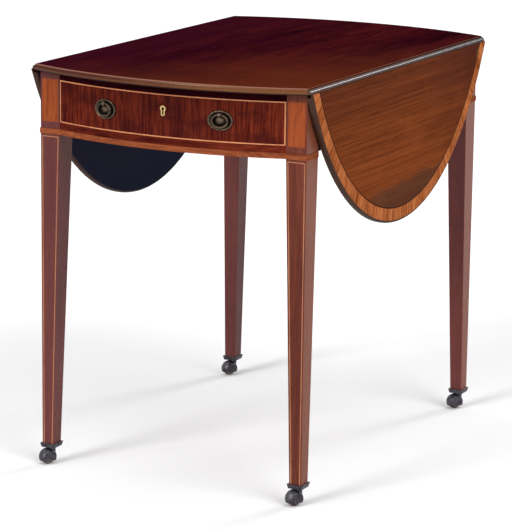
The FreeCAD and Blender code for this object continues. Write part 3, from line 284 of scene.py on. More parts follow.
class Tree:
    """Adds nodes to a node tree, with each input set to a number or joined to a socket."""

    def __init__(self, tree):
        self.tree = tree

    def link(self, value, socket):
        self.tree.links.new(value, socket)

    def add(self, kind, inputs=None, **settings):
        node = self.tree.nodes.new(kind)
        for name, value in settings.items():
            setattr(node, name, value)
        for key, value in (inputs or {}).items():
            if isinstance(value, bpy.types.NodeSocket):
                self.link(value, node.inputs[key])
            else:
                node.inputs[key].default_value = value
        return node

    def group(self, name, inputs):
        """The outputs of a shared group, placed with its own values."""
        return self.add("ShaderNodeGroup", inputs, node_tree=bpy.data.node_groups[name]).outputs

    def math(self, operation, first, second=0.0, third=0.0):
        return self.add("ShaderNodeMath", {0: first, 1: second, 2: third}, operation=operation).outputs[0]

    def times(self, first, second):
        return self.math("MULTIPLY", first, second)

    def weigh(self, *parts):
        """The sum of values, each times its weight."""
        total = 0.0
        for value, weight in parts:
            total = self.math("MULTIPLY_ADD", value, weight, total)
        return total

    def hypotenuse(self, first, second):
        """The root of the sum of two squares."""
        return self.math("SQRT", self.weigh((first, first), (second, second)))

    def remap(self, value, start, end, low=0.0, high=1.0):
        """Eased from low, where the value is at the start, to high, where it is at the end."""
        return self.add("ShaderNodeMapRange", {"Value": value, "From Min": start, "From Max": end,
                                               "To Min": low, "To Max": high},
                        interpolation_type="SMOOTHSTEP").outputs["Result"]

    def between(self, value, start, end, fade):
        """One from start to end and none outside, eased over a fade."""
        return self.times(self.remap(value, start, start + fade), self.remap(value, end, end - fade))

    def mix(self, amount, first, second):
        return self.add("ShaderNodeMix", {0: amount, 6: first, 7: second}, data_type="RGBA").outputs[2]

    def noise(self, vector, scale, detail=4.0, roughness=0.55):
        return self.add("ShaderNodeTexNoise", {"Vector": vector, "Scale": scale, "Detail": detail,
                                               "Roughness": roughness}).outputs["Fac"]

    def clouds(self, vector, scale):
        """Soft noise about zero."""
        return self.math("SUBTRACT", self.noise(vector, scale, detail=3.0), 0.5)

    def split(self, vector):
        return self.add("ShaderNodeSeparateXYZ", {0: vector}).outputs

    def join(self, x, y, z):
        return self.add("ShaderNodeCombineXYZ", {0: x, 1: y, 2: z}).outputs[0]

    def object_place(self):
        return self.add("ShaderNodeTexCoord").outputs["Object"]

    def relief(self, height, strength, distance):
        """A normal that follows a height."""
        return self.add("ShaderNodeBump", {"Height": height, "Strength": strength,
                                           "Distance": distance}).outputs[0]


def rgba(value):
    return (*value, 1.0)


def darkened(value, share):
    return [share * part for part in value]


def new_group(name, inputs, outputs):
    """A shader node group with named sockets: its inner tree, and its inner ends."""
    group = bpy.data.node_groups.new(name, "ShaderNodeTree")
    for label in inputs:
        kind = "NodeSocketVector" if label == "Vector" else "NodeSocketFloat"
        group.interface.new_socket(label, in_out="INPUT", socket_type=kind)
    for label in outputs:
        group.interface.new_socket(label, in_out="OUTPUT", socket_type="NodeSocketFloat")
    tree = Tree(group)
    return tree, tree.add("NodeGroupInput").outputs, tree.add("NodeGroupOutput").inputs


def grain_group():
    """Wood grain along X: broad figure, fine streaks, dark lines and pores, each noise drawn out along it."""
    tree, given, result = new_group(
        "Wood grain", ("Vector", "Figure Scale", "Streak Scale", "Stretch", "Waviness"),
        ("Figure", "Streaks", "Lines", "Pores", "Height"))
    along, across, depth = tree.split(given["Vector"])
    drift = tree.noise(given["Vector"], scale=5.0, detail=2.0)
    shift = tree.times(tree.math("SUBTRACT", drift, 0.5), given["Waviness"])
    across = tree.math("ADD", across, shift)
    depth = tree.math("ADD", depth, shift)
    drawn = tree.join(tree.math("DIVIDE", along, given["Stretch"]), across, depth)
    fine_stretch = tree.times(given["Stretch"], 2.5)
    fine = tree.join(tree.math("DIVIDE", along, fine_stretch), across, depth)
    figure = tree.noise(drawn, given["Figure Scale"], detail=5.0, roughness=0.6)
    streaks = tree.noise(fine, given["Streak Scale"], detail=5.0, roughness=0.65)
    lines = tree.noise(fine, tree.times(given["Streak Scale"], 1.3), detail=2.0, roughness=0.5)
    specks = tree.noise(fine, tree.times(given["Streak Scale"], 5.0), detail=2.0, roughness=0.5)
    pores = tree.remap(specks, start=0.60, end=0.72)
    tree.link(tree.remap(figure, start=0.30, end=0.70), result["Figure"])
    tree.link(tree.remap(streaks, start=0.32, end=0.68), result["Streaks"])
    tree.link(tree.remap(lines, start=0.52, end=0.66), result["Lines"])
    tree.link(pores, result["Pores"])
    tree.link(tree.math("SUBTRACT", tree.times(streaks, 0.3), pores), result["Height"])


def oval_group():
    """Distance from an oval in the YZ plane, outwards, and the angle round it as a length along its edge.
    The distance is the oval's implicit function over the length of its gradient."""
    tree, given, result = new_group(
        "Oval edge", ("Vector", "Middle", "Half Length", "Half Width"), ("Distance", "Along"))
    _, y, z = tree.split(given["Vector"])
    u = tree.math("DIVIDE", tree.math("SUBTRACT", given["Middle"], z), given["Half Length"])
    v = tree.math("DIVIDE", y, given["Half Width"])
    outside = tree.math("SUBTRACT", tree.weigh((u, u), (v, v)), 1.0)
    slope = tree.hypotenuse(tree.math("DIVIDE", u, given["Half Length"]),
                            tree.math("DIVIDE", v, given["Half Width"]))
    tree.link(tree.math("DIVIDE", outside, tree.times(slope, 2.0)), result["Distance"])
    tree.link(tree.times(tree.math("ARCTAN2", v, u), given["Half Length"]), result["Along"])


def patina_group():
    """Rubbed and grimy places of old metal: rubbed where coarse and fine noise are high together, and grimy
    where the fine noise is low."""
    tree, given, result = new_group("Old metal", ("Vector", "Scale"), ("Rubbed", "Grime"))
    coarse = tree.noise(given["Vector"], given["Scale"])
    fine = tree.noise(given["Vector"], tree.times(given["Scale"], 6.0), detail=3.0)
    tree.link(tree.remap(tree.weigh((coarse, 0.5), (fine, 0.5)), start=0.38, end=0.62), result["Rubbed"])
    tree.link(tree.remap(fine, start=0.60, end=0.35), result["Grime"])


def new_material(name, constants):
    """A material with one Principled shader, whose plain values are set on its own sockets."""
    material = bpy.data.materials.new(name)
    material.use_nodes = True
    material.node_tree.nodes.clear()
    tree = Tree(material.node_tree)
    shader = tree.add("ShaderNodeBsdfPrincipled", constants)
    tree.add("ShaderNodeOutputMaterial", {"Surface": shader.outputs[0]})
    return material, tree, shader.inputs


class Wood:
    """A polished wood being mixed: its grain, its colour so far, and where it ends up in the shader."""

    def __init__(self, name, axis, grain, polish=FLAT_POLISH):
        self.material, self.tree, self.sockets = new_material(name, {"Specular IOR Level": polish})
        self.place = self.tree.object_place()
        x, y, z = self.tree.split(self.place)
        along_grain = {"x": (x, y, z), "y": (y, x, z), "z": (z, x, y)}[axis]
        self.grain = self.tree.group("Wood grain", {
            "Vector": self.tree.join(*along_grain), "Figure Scale": grain["figure"],
            "Streak Scale": grain["streaks"], "Stretch": grain["stretch"], "Waviness": grain["waviness"]})

    def tone(self, dark, light, figure_share=0.6, lines=0.3, pores=0.55):
        """Dark to light by the figure and the streaks, with the lines and the pores darker still."""
        tree, grain = self.tree, self.grain
        blend = tree.weigh((grain["Figure"], figure_share), (grain["Streaks"], 1.0 - figure_share))
        self.colour = tree.mix(blend, rgba(dark), rgba(light))
        deep = darkened(dark, DEEP_SHARE)
        self.stain(grain["Lines"], deep, lines)
        return self.stain(grain["Pores"], deep, pores)

    def stain(self, mask, tint, amount=1.0):
        """Mix a tint into the colour, as far as the mask and the amount say."""
        self.colour = self.tree.mix(self.tree.times(mask, amount), self.colour, rgba(tint))
        return self

    def gloss(self, mask, rough):
        """A coat of brighter polish, as strong as the mask."""
        self.tree.link(mask, self.sockets["Coat Weight"])
        self.sockets["Coat Roughness"].default_value = rough

    def finish(self, smooth=0.22, rough=0.42):
        """Join colour, polish and relief to the shader. The polish is rougher in clouds and in the pores."""
        tree = self.tree
        wear = tree.weigh((tree.noise(self.place, scale=22.0, detail=3.0), 0.7), (self.grain["Pores"], 0.3))
        tree.link(self.colour, self.sockets["Base Color"])
        tree.link(tree.remap(wear, start=0.2, end=0.7, low=smooth, high=rough), self.sockets["Roughness"])
        tree.link(tree.relief(self.grain["Height"], strength=0.35, distance=0.00012), self.sockets["Normal"])
        return self.material


def dress(material, nodes):
    """Give CAD nodes a material."""
    for name in nodes:
        slots = frame["nodes"][name].data.materials
        slots.clear()
        slots.append(material)


def wrapped_faces(rows, columns):
    """Four-cornered faces of a grid that joins up both ways."""
    row, column = np.meshgrid(np.arange(rows), np.arange(columns), indexing="ij")
    after_row = (row + 1) % rows
    after = (column + 1) % columns
    return np.stack([row * columns + column, row * columns + after, after_row * columns + after,
                     after_row * columns + column], -1).reshape(-1, 4)


def capped_faces(rows, columns):
    """Faces between the rows of a grid whose columns join up, with a fan of three-cornered faces to a point
    before and after them."""
    column = np.arange(columns)
    after = (column + 1) % columns
    sides = wrapped_faces(rows, columns)[:(rows - 1) * columns]
    first, last = rows * columns, rows * columns + 1
    low = np.stack([np.full(columns, first), after, column], -1)
    start = (rows - 1) * columns
    high = np.stack([np.full(columns, last), start + column, start + after], -1)
    return [tuple(face) for part in (sides, low, high) for face in part.tolist()]


def new_piece(name, points, faces, raised, material, body, stands_for):
    """A smooth piece that moves with a body in place of a CAD node. Each point carries how raised it is."""
    mesh = bpy.data.meshes.new(name)
    mesh.from_pydata(points.tolist(), [], faces)
    mesh.polygons.foreach_set("use_smooth", np.ones(len(mesh.polygons), bool))
    mesh.attributes.new("raised", "FLOAT", "POINT").data.foreach_set("value", raised.astype(np.float32))
    mesh.materials.append(material)
    piece = bpy.data.objects.new(name, mesh)
    bpy.context.scene.collection.objects.link(piece)
    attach(piece, body)
    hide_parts(stands_for)


class PEMBROKE_OT_groups(bpy.types.Operator):
    """Build the shader groups that the woods and metals share"""
    bl_idname = "pembroke.groups"
    bl_label = "Shared grain and patina"

    def execute(self, context):
        grain_group()
        oval_group()
        patina_group()
        return {"FINISHED"}


class PEMBROKE_OT_top(bpy.types.Operator):
    """Polish the fixed top: dark streaks from front to back, painted darker than the leaves as painted shade,
    with painted light towards the front right corner and painted shade towards the left
    """
    bl_idname = "pembroke.top"
    bl_label = "Fixed top"

    def execute(self, context):
        tint, polish = context.scene.wood_colours, context.scene.polish_sizes
        # Painted shade: the top's streak colours are the leaves' mahogany painted much darker
        wood = Wood("Mahogany with painted shade", "y", TOP_GRAIN).tone(tint.painted_shade_top_dark, tint.painted_shade_top_light, lines=0.45)
        tree = wood.tree
        x, y, z = tree.split(wood.place)
        cloud = tree.clouds(wood.place, scale=7.0)
        corner = tree.weigh((x, 1.1), (y, -0.8), (cloud, 0.35))
        shade = tree.weigh((x, 1.0), (cloud, 0.4))
        # Painted shade: purple towards the left side of the top
        wood.stain(tree.remap(shade, start=0.02, end=-0.26), tint.top_painted_shade, 0.65)
        # Painted light: browner towards the front right corner
        wood.stain(tree.remap(corner, start=-0.02, end=0.58), tint.top_painted_light, 0.75)
        edge = tree.group("Oval edge", {
            "Vector": tree.join(0.0, y, tree.times(x, -1.0)), "Middle": 0.0,
            "Half Length": OVAL_HALF_LENGTH, "Half Width": OVAL_HALF_WIDTH})["Distance"]
        side = tree.math("ABSOLUTE", x)
        depth = tree.math("SUBTRACT", TOP_FACE, z)
        rim = tree.remap(edge, -polish.rim_reach, polish.rim_fade - polish.rim_reach)
        nosing_with_painted_shade = tree.remap(side, HINGE.x, HINGE.x + polish.nosing_fade)
        self.rim_bands(wood, tint, polish, rim, corner, depth)
        # Painted shade: the nosings are painted dark
        wood.stain(nosing_with_painted_shade, tint.nosing_with_painted_shade, 0.6)
        self.painted_edge_highlights(wood, tint, polish, edge, side, depth)
        # Painted shade: the underside is painted dark blue
        wood.stain(tree.remap(z, *(TOP_UNDERSIDE + skin for skin in UNDERSIDE_SKIN)), tint.underside_painted_shade)
        wood.gloss(tree.math("MAXIMUM", tree.times(rim, 0.24), tree.times(nosing_with_painted_shade, 0.48)), rough=0.18)
        dress(wood.finish(smooth=0.20, rough=0.36), ["top_board"])
        return {"FINISHED"}

    @staticmethod
    def rim_bands(wood, tint, polish, rim, corner, depth):
        """The rim has painted light towards the corner, a painted reflection as a light line low on it, and a
        painted shadow as a dark foot.
        """
        tree = wood.tree
        wood.stain(rim, tint.rim, 0.85)
        # Painted light: the rim is lighter towards the corner
        wood.stain(tree.times(rim, tree.remap(corner, start=0.20, end=0.50)), tint.rim_painted_light, 0.6)
        line = tree.between(depth, polish.reflection_start, polish.reflection_end, polish.fade)
        # Painted reflection: the light line low on the rim
        wood.stain(tree.times(rim, line), tint.rim_painted_light, 0.5)
        foot = tree.remap(depth, polish.rim_shadow_start, polish.rim_shadow_start + polish.rim_shadow_fade)
        # Painted shadow: the dark foot of the rim
        wood.stain(tree.times(rim, foot), tint.dark_line, 0.85)

    @staticmethod
    def painted_edge_highlights(wood, tint, polish, edge, side, depth):
        """Painted highlights on the edge over the rim and on the line along each rule joint, close under the
        face.
        """
        tree, fade = wood.tree, polish.fade
        outer = tree.remap(edge, -polish.highlight_reach, fade - polish.highlight_reach)
        shallow = tree.remap(depth, polish.highlight_depth, polish.highlight_depth - fade)
        # Painted highlight along the edge over the rim
        wood.stain(tree.times(outer, shallow), tint.arris_painted_highlight, 0.85)
        from_joint = tree.math("ABSOLUTE", tree.math("SUBTRACT", side, HINGE.x))
        line = tree.remap(from_joint, polish.joint_highlight_width, polish.joint_highlight_width - fade)
        shallow = tree.remap(depth, polish.joint_highlight_depth, polish.joint_highlight_depth - fade)
        # Painted highlight along each rule joint
        wood.stain(tree.times(line, shallow), tint.arris_painted_highlight, 0.8)


class PEMBROKE_OT_leaves(bpy.types.Operator):
    """Polish the leaves and their crossbanding, add painted shade to their undersides, backs, low parts and
    rims, and wear their back corners
    """
    bl_idname = "pembroke.leaves"
    bl_label = "Leaves"

    def execute(self, context):
        scene = context.scene
        dress(self.field(scene.wood_colours, scene.piece_sizes, scene.polish_sizes), LEAVES)
        dress(self.banding(scene.wood_colours, scene.piece_sizes), CROSSBANDS)
        return {"FINISHED"}

    @staticmethod
    def edge(wood, inset):
        return wood.tree.group("Oval edge", {
            "Vector": wood.place, "Middle": OVAL_MIDDLE, "Half Length": OVAL_HALF_LENGTH - inset,
            "Half Width": OVAL_HALF_WIDTH - inset})

    @staticmethod
    def dark_line(wood, tint, sizes, distance):
        """A dark line where the distance is small."""
        line = wood.tree.remap(distance, sizes.banding_line, sizes.banding_line / 2.0)
        wood.stain(line, tint.dark_line, 0.85)

    def field(self, tint, sizes, polish):
        wood = Wood("Brown mahogany", "y", LEAF_GRAIN)
        wood.tone(tint.leaf_dark, tint.leaf_light, figure_share=0.5, lines=0.22)
        tree = wood.tree
        x, y, z = tree.split(wood.place)
        cloud = tree.clouds(wood.place, scale=9.0)
        wood.stain(tree.remap(cloud, start=-0.02, end=0.22), tint.leaf_light, 0.5)
        back = tree.weigh((y, 0.8), (cloud, 0.5))
        # Painted shade: darker towards the back of the leaves
        wood.stain(tree.remap(back, start=0.04, end=0.38), tint.leaf_painted_shade, 0.70)
        height = tree.weigh((z, 1.0), (cloud, 0.08))
        # Painted shade: darker down from the rule joint
        wood.stain(tree.remap(height, HINGE.z - polish.joint_painted_shade, HINGE.z), tint.leaf_painted_shade, 0.40)
        fall = tree.weigh((y, 0.09), (z, -1.0), (cloud, 0.06))
        low = tree.remap(fall, -polish.low_shade_height, polish.low_shade_fade - polish.low_shade_height)
        # Painted shade: greyer and darker low on the leaves
        wood.stain(low, tint.leaf_low_painted_shade, 0.6)
        wood.stain(self.worn_corner(tree, polish, y, z, cloud), tint.worn, 0.8)
        banding_edge = self.edge(wood, BANDING_INSET + sizes.banding_width)["Distance"]
        self.dark_line(wood, tint, sizes, tree.math("ABSOLUTE", banding_edge))
        leaf_edge = self.edge(wood, inset=0.0)["Distance"]
        rim = tree.remap(leaf_edge, -polish.leaf_rim_shade_reach, polish.leaf_rim_shade_fade - polish.leaf_rim_shade_reach)
        # Painted shade: the leaves' rims are painted dark
        wood.stain(rim, tint.leaf_rim_painted_shade, 0.9)
        wood.gloss(tree.times(rim, 0.24), rough=0.2)
        inner = tree.remap(tree.math("ABSOLUTE", x), *(LEAF_INNER + skin for skin in UNDERSIDE_SKIN))
        # Painted shade: the leaves' inner faces are painted dark blue
        wood.stain(inner, tint.underside_painted_shade, 0.96)
        return wood.finish(smooth=0.24, rough=0.40)

    @staticmethod
    def worn_corner(tree, polish, y, z, cloud):
        """A rubbed patch at the top back corner of a leaf."""
        from_patch = tree.hypotenuse(tree.math("SUBTRACT", y, OVAL_HALF_WIDTH * WORN_SHARE),
                                     tree.math("SUBTRACT", z, HINGE.z - polish.worn_drop))
        ragged = tree.weigh((from_patch, 1.0), (cloud, 0.03))
        return tree.remap(ragged, polish.worn_reach, polish.worn_core)

    def banding(self, tint, sizes):
        """Short grain set square to the rim: the pattern runs along the edge and hardly across it."""
        wood = Wood("Crossbanding", "y", BAND_GRAIN)
        tree = wood.tree
        edge = self.edge(wood, BANDING_INSET + sizes.banding_width)
        across = tree.times(edge["Distance"], 0.10)
        streaks = tree.noise(tree.join(edge["Along"], across, 0.0), scale=260.0, detail=5.0, roughness=0.7)
        broad = tree.noise(tree.join(edge["Along"], 0.0, 0.0), scale=22.0, detail=3.0)
        blend = tree.remap(tree.weigh((streaks, 0.65), (broad, 0.35)), start=0.40, end=0.60)
        wood.colour = tree.mix(blend, rgba(tint.band_dark), rgba(tint.band_light))
        self.dark_line(wood, tint, sizes, edge["Distance"])
        return wood.finish(smooth=0.24, rough=0.40)


class PEMBROKE_OT_frame(bpy.types.Operator):
    """Polish the legs, rails and drawer front, with painted shade and light on the legs and painted shadow on
    the top rail, and inlay their panels, band and stringing
    """
    bl_idname = "pembroke.frame"
    bl_label = "Frame"

    def execute(self, context):
        tint = context.scene.wood_colours
        dress(self.legs(tint), LEGS)
        dress(self.figured(tint), ["drawer_front", "back_rail"])
        rail = Wood("Rail mahogany", "x", LEG_GRAIN).tone(tint.front_dark, tint.front_light)
        dress(rail.finish(), ["drawer_rail"])
        # Painted shadow: the top rail is painted dark for the shadow under the top's overhang
        rail_painted_shadow = Wood("Rail with painted shadow", "x", LEG_GRAIN).tone(tint.painted_shade_top_dark, tint.front_dark)
        dress(rail_painted_shadow.finish(), ["top_rail"])
        panel = Wood("Satinwood", "z", SATIN_GRAIN).tone(tint.satin_dark, tint.satin_light, figure_share=0.35)
        dress(panel.finish(), ["leg_panels"])
        band = Wood("Satinwood band", "x", SATIN_GRAIN)
        band.tone(tint.apron_dark, tint.apron_light, figure_share=0.35)
        dress(band.finish(), ["apron_band"])
        stringing = Wood("Boxwood", "x", BOX_GRAIN).tone(tint.box_dark, tint.box_light)
        dress(stringing.finish(), ["drawer_stringing"])
        worn = Wood("Worn boxwood", "z", BOX_GRAIN).tone(tint.string_dark, tint.string_light)
        dress(worn.finish(), ["frame_stringing"])
        oak = Wood("Oak", "y", OAK_GRAIN).tone(tint.oak_dark, tint.oak_light)
        dress(oak.finish(smooth=0.45, rough=0.7), OAK_PIECES)
        return {"FINISHED"}

    @staticmethod
    def legs(tint):
        """Upright grain, with purple painted shade on all legs but the front right one and painted light on
        the outer faces of the right legs.
        """
        wood = Wood("Leg mahogany", "z", LEG_GRAIN, LEG_POLISH).tone(tint.leg_dark, tint.leg_light)
        tree = wood.tree
        x, y, _ = tree.split(wood.place)
        # Painted shade: purple on all legs but the front right one
        wood.stain(tree.remap(tree.math("SUBTRACT", x, y), start=0.40, end=0.20), tint.leg_painted_shade, 0.5)
        # Painted light: the outer faces of the right legs are lighter
        wood.stain(tree.remap(x, *(LEG_OUTSIDE - skin for skin in OUTSIDE_SKIN)), tint.leg_painted_light, 0.6)
        return wood.finish()

    @staticmethod
    def figured(tint):
        """Upright strokes over broad clouds, darker in the middle."""
        wood = Wood("Figured mahogany", "z", FRONT_GRAIN)
        wood.tone(tint.front_dark, tint.front_light, figure_share=0.3, lines=0.42)
        tree = wood.tree
        x, _, z = tree.split(wood.place)
        broad = tree.noise(tree.join(x, tree.times(z, 2.0), 0.0), scale=13.0, detail=3.0)
        wood.stain(tree.remap(broad, start=0.42, end=0.66), tint.front_cloud, 0.60)
        from_middle = tree.weigh((tree.math("ABSOLUTE", x), 1.0), (z, 0.1))
        wood.stain(tree.remap(from_middle, start=0.24, end=0.10), tint.front_cloud, 0.35)
        return wood.finish(smooth=0.24, rough=0.40)


class PEMBROKE_OT_metal(bpy.types.Operator):
    """Give the brass, castors and iron their aged finish"""
    bl_idname = "pembroke.metal"
    bl_label = "Metals"

    def execute(self, context):
        tint = context.scene.metal_colours
        dull_keyhole = darkened(tint.keyhole, KEYHOLE_DULL_SHARE)
        dull_iron = darkened(tint.iron, IRON_DULL_SHARE)
        dress(self.aged("Aged brass", tint.brass_low, tint.brass_high, scale=260.0), BRASS_PIECES)
        bronze = self.aged("Castor bronze", tint.castor_low, tint.castor_high, scale=120.0)
        dress(bronze, ["castor_cups", *HOODS])
        dress(self.aged("Castor wheel", tint.wheel_low, tint.wheel_high, scale=120.0), WHEELS)
        dress(self.aged("Keyhole brass", dull_keyhole, tint.keyhole, scale=300.0), ["keyhole_plate"])
        dress(self.aged("Iron", dull_iron, tint.iron, scale=150.0), IRON_PIECES)
        return {"FINISHED"}

    @staticmethod
    def aged(name, low, high, scale):
        """Dull to rubbed by the patina, and rougher where it is grimy."""
        material, tree, sockets = new_material(name, {"Metallic": AGED_METAL})
        marks = tree.group("Old metal", {"Vector": tree.object_place(), "Scale": scale})
        tree.link(tree.mix(marks["Rubbed"], rgba(low), rgba(high)), sockets["Base Color"])
        tree.link(tree.remap(marks["Grime"], start=0.0, end=1.0, low=0.34, high=0.62), sockets["Roughness"])
        tree.link(tree.relief(marks["Rubbed"], strength=0.3, distance=0.0003), sockets["Normal"])
        return material


class PEMBROKE_OT_handles(bpy.types.Operator):
    """Cast the oval handle plates and the rings that hang on them"""
    bl_idname = "pembroke.handles"
    bl_label = "Handles"

    def execute(self, context):
        sizes = context.scene.piece_sizes
        brass = self.cast_brass(context.scene.metal_colours)
        for owner, body in (("drawer", "drawer"), ("back", "frame")):
            places = [self.place(owner, side) for side in SIDES]
            self.plates(f"{owner}_handle_plates", places, sizes, brass, body)
            for side, place in zip(SIDES, places):
                self.ring(f"{owner}_ring_{side}", place, sizes, brass)
        return {"FINISHED"}

    @staticmethod
    def place(owner, side):
        """Where a ring hangs, the way along the bowed face there, and the way out of it."""
        joint = JOINTS[f"{owner}_ring_{side}_hinge"]
        along = -np.array(joint["axis"])
        return np.array(joint["pos_m"]), along, np.array([along[1], -along[0], 0.0])

    @staticmethod
    def plate_profile(sizes):
        """Rows of a plate from its boss to its back: each one's share of the outline, its height over the
        face and how raised it is. The boss falls with the cube of the share, the hollow is flat, the rim
        rises as a sine to the power of one and a half, and its edge turns over as an arc of an ellipse."""
        boss = np.linspace(0.0, BOSS_SHARE, BOSS_ROWS + 1)[1:]
        climb = np.linspace(0.0, 1.0, RIM_ROWS)
        turn = np.linspace(0.0, EDGE_TURN, EDGE_ROWS + 1)[1:]
        rim = HOLLOW_SHARE + climb * (CREST_SHARE - HOLLOW_SHARE)
        edge = CREST_SHARE + (1.0 - CREST_SHARE) * np.sin(turn) / math.sin(EDGE_TURN)
        shares = np.concatenate([boss, rim, edge, [1.0]])
        raised = np.concatenate([1.0 - (boss / BOSS_SHARE) ** 3, np.sin(climb * math.pi / 2.0) ** 1.5,
                                 np.cos(turn), [0.0]])
        crest = np.where(shares <= BOSS_SHARE, sizes.plate_boss, sizes.plate_rim)
        heights = sizes.plate_dish + raised * (crest - sizes.plate_dish)
        heights[-1] = 0.0
        return shares, heights, raised

    @classmethod
    def plates(cls, node, places, sizes, material, body):
        """Oval dishes. Each row of a dish is its oval outline times a share, set out from the face by a
        height, and points at the top of the boss and in the middle of the back close it."""
        low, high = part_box(node)
        half_width, half_height = sizes.plate_half_width, (high.z - low.z) / 2.0
        shares, heights, rises = cls.plate_profile(sizes)
        turn = np.arange(PLATE_POINTS)[:, None] * (2.0 * math.pi / PLATE_POINTS)
        points, faces = [], []
        for eye, along, out in places:
            centre = eye - out * sizes.ring_stand
            centre[2] = (low.z + high.z) / 2.0
            outline = half_width * np.cos(turn) * along + half_height * np.sin(turn) * UP
            rows = centre + shares[:, None, None] * outline + heights[:, None, None] * out
            start = sum(len(part) for part in points)
            points.append(np.concatenate([rows.reshape(-1, 3), [centre + out * sizes.plate_boss, centre]]))
            faces += [tuple(start + corner for corner in face)
                      for face in capped_faces(len(shares), PLATE_POINTS)]
        raised = np.append(np.repeat(rises, PLATE_POINTS), [1.0, 0.0])
        new_piece(f"{node}_cast", np.concatenate(points), faces, np.tile(raised, len(places)), material,
                  body, node)

    @staticmethod
    def ring(node, place, sizes, material):
        """A circle carried round an oval that hangs from the eye. It grows towards the foot with one minus
        the cosine of the turn, and moves in by as much, so that its outer side stays where it is. The wire
        is rubbed most in front, and more outside than inside."""
        eye, along, out = place
        low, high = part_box(node)
        half_height = (eye[2] - low.z - sizes.ring_wire) / 2.0
        half_width = ((high.x - low.x) / 2.0 - sizes.ring_wire) / abs(along[0])
        turn = np.arange(RING_POINTS)[:, None, None] * (2.0 * math.pi / RING_POINTS)
        round_wire = np.arange(WIRE_POINTS)[None, :, None] * (2.0 * math.pi / WIRE_POINTS)
        path = eye + half_width * np.sin(turn) * along + half_height * (np.cos(turn) - 1.0) * UP
        outward = half_height * np.sin(turn) * along + half_width * np.cos(turn) * UP
        outward = outward / np.linalg.norm(outward, axis=-1, keepdims=True)
        growth = (sizes.ring_foot - sizes.ring_wire) * (1.0 - np.cos(turn)) / 2.0
        towards_front, towards_rim = np.sin(round_wire), np.cos(round_wire)
        points = (path - growth * outward
                  + (sizes.ring_wire + growth) * (towards_rim * outward + towards_front * out))
        raised = np.tile((0.45 + 0.35 * towards_front + 0.2 * towards_rim).reshape(-1), RING_POINTS)
        new_piece(f"{node}_cast", points.reshape(-1, 3), wrapped_faces(RING_POINTS, WIRE_POINTS).tolist(),
                  raised, material, node, node)

    @staticmethod
    def cast_brass(tint):
        """Dark in the hollows, rubbed bright where the casting is raised."""
        material, tree, sockets = new_material("Cast brass", {"Metallic": AGED_METAL,
                                                              "Specular IOR Level": CAST_POLISH})
        marks = tree.group("Old metal", {"Vector": tree.object_place(), "Scale": 300.0})
        raised = tree.add("ShaderNodeAttribute", attribute_name="raised").outputs["Fac"]
        patches = tree.remap(marks["Rubbed"], start=0.0, end=1.0, low=0.3, high=1.0)
        rubbed = tree.times(tree.math("POWER", raised, 1.8), patches)
        tree.link(tree.mix(rubbed, rgba(tint.brass_low), rgba(tint.brass_high)), sockets["Base Color"])
        tree.link(tree.remap(rubbed, start=0.0, end=1.0, low=0.70, high=0.24), sockets["Roughness"])
        tree.link(tree.relief(marks["Grime"], strength=0.25, distance=0.0002), sockets["Normal"])
        return material


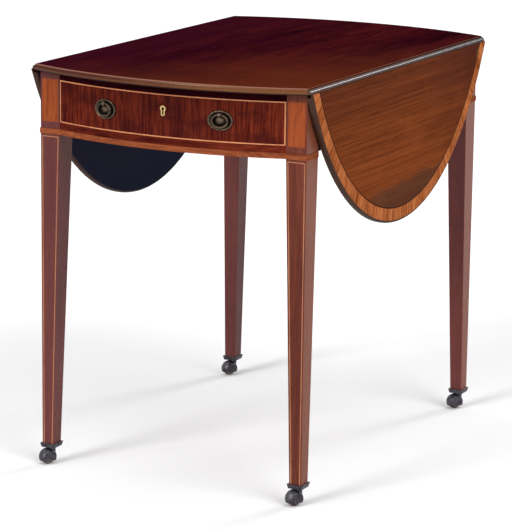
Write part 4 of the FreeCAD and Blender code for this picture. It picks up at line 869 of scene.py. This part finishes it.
class PEMBROKE_OT_stage(bpy.types.Operator):
    """Set up the floor, the soft light and the camera"""
    bl_idname = "pembroke.stage"
    bl_label = "Studio"

    def execute(self, context):
        studio = context.scene.studio
        context.scene.view_settings.view_transform = "Standard"
        self.floor(context, studio)
        self.room(context, studio)
        self.lamps(context, studio)
        self.camera(context, studio)
        return {"FINISHED"}

    @staticmethod
    def floor(context, studio):
        half = studio.floor_half
        mesh = bpy.data.meshes.new("floor")
        mesh.from_pydata([(-half, -half, 0.0), (half, -half, 0.0), (half, half, 0.0), (-half, half, 0.0)], [],
                         [(0, 1, 2, 3)])
        material, _, _ = new_material("Pale floor", {
            "Base Color": rgba(studio.floor_colour), "Roughness": 0.9, "Specular IOR Level": 0.0})
        mesh.materials.append(material)
        floor = bpy.data.objects.new("floor", mesh)
        context.scene.collection.objects.link(floor)

    @staticmethod
    def room(context, studio):
        """A dim room whose walls look white in the picture and in reflections."""
        world = bpy.data.worlds.new("Room")
        context.scene.world = world
        world.use_nodes = True
        tree = Tree(world.node_tree)
        ray = tree.add("ShaderNodeLightPath").outputs
        seen = tree.math("MAXIMUM", ray["Is Camera Ray"], ray["Is Glossy Ray"])
        seen = tree.math("MAXIMUM", seen, ray["Is Transmission Ray"])
        walls = tree.mix(seen, rgba(studio.room_colour), rgba(studio.wall_colour))
        tree.link(walls, world.node_tree.nodes["Background"].inputs["Color"])

    @staticmethod
    def lamps(context, studio):
        """Soft suns: each one's name, the way towards it, its width in degrees and its strength."""
        plan = (("key", (-0.38, -0.74, 0.56), 46.0, studio.key_strength),
                ("glint", (-0.290, -0.842, 0.454), 18.0, studio.glint_strength),
                ("side", (0.74, -0.30, 0.60), 40.0, studio.side_strength),
                ("back", (0.307, 0.844, 0.439), 15.0, studio.back_strength),
                ("overhead", (0.0, 0.0, 1.0), 100.0, studio.sky_strength))
        for name, towards, width, energy in plan:
            lamp = bpy.data.lights.new(name, "SUN")
            lamp.energy = energy
            lamp.angle = math.radians(width)
            holder = bpy.data.objects.new(name, lamp)
            holder.rotation_euler = Vector(towards).to_track_quat("Z", "Y").to_euler()
            context.scene.collection.objects.link(holder)

    @staticmethod
    def camera(context, studio):
        """The camera's axes from its turn, its dip and its roll."""
        turn, dip, roll = studio.camera_turn, studio.camera_dip, studio.camera_roll
        ahead = Vector((-math.sin(turn) * math.cos(dip), math.cos(turn) * math.cos(dip), -math.sin(dip)))
        level = Vector((math.cos(turn), math.sin(turn), 0.0))
        rise = level.cross(ahead)
        right = math.cos(roll) * level + math.sin(roll) * rise
        up = math.cos(roll) * rise - math.sin(roll) * level
        lens = bpy.data.cameras.new("camera")
        lens.lens = studio.focal_pixels / studio.picture_height * lens.sensor_width
        holder = bpy.data.objects.new("camera", lens)
        pose = Matrix((right, up, -ahead)).transposed().to_4x4()
        pose.translation = Vector(studio.camera_place)
        holder.matrix_world = pose
        context.scene.collection.objects.link(holder)
        context.scene.camera = holder


OPERATORS = (PEMBROKE_OT_groups, PEMBROKE_OT_top, PEMBROKE_OT_leaves, PEMBROKE_OT_frame, PEMBROKE_OT_metal,
             PEMBROKE_OT_handles, PEMBROKE_OT_stage)
SETTINGS = {"wood_colours": WoodColours, "metal_colours": MetalColours, "piece_sizes": PieceSizes,
            "polish_sizes": PolishSizes, "studio": StudioSettings}


class PEMBROKE_PT_panel(bpy.types.Panel):
    """Lists the table's pieces and finishes"""
    bl_idname = "PEMBROKE_PT_panel"
    bl_label = "Pembroke table"
    bl_space_type = "VIEW_3D"
    bl_region_type = "UI"
    bl_category = "Table"

    def draw(self, context):
        for operator in OPERATORS:
            self.layout.operator(operator.bl_idname)


def register():
    for kind in (*SETTINGS.values(), *OPERATORS, PEMBROKE_PT_panel):
        bpy.utils.register_class(kind)
    for name, kind in SETTINGS.items():
        setattr(bpy.types.Scene, name, bpy.props.PointerProperty(type=kind))


def unregister():
    for name in SETTINGS:
        delattr(bpy.types.Scene, name)
    for kind in (PEMBROKE_PT_panel, *reversed(OPERATORS), *reversed(SETTINGS.values())):
        bpy.utils.unregister_class(kind)


def main():
    register()
    for operator in OPERATORS:
        group, name = operator.bl_idname.split(".")
        getattr(getattr(bpy.ops, group), name)()


if __name__ == "__main__":
    main()
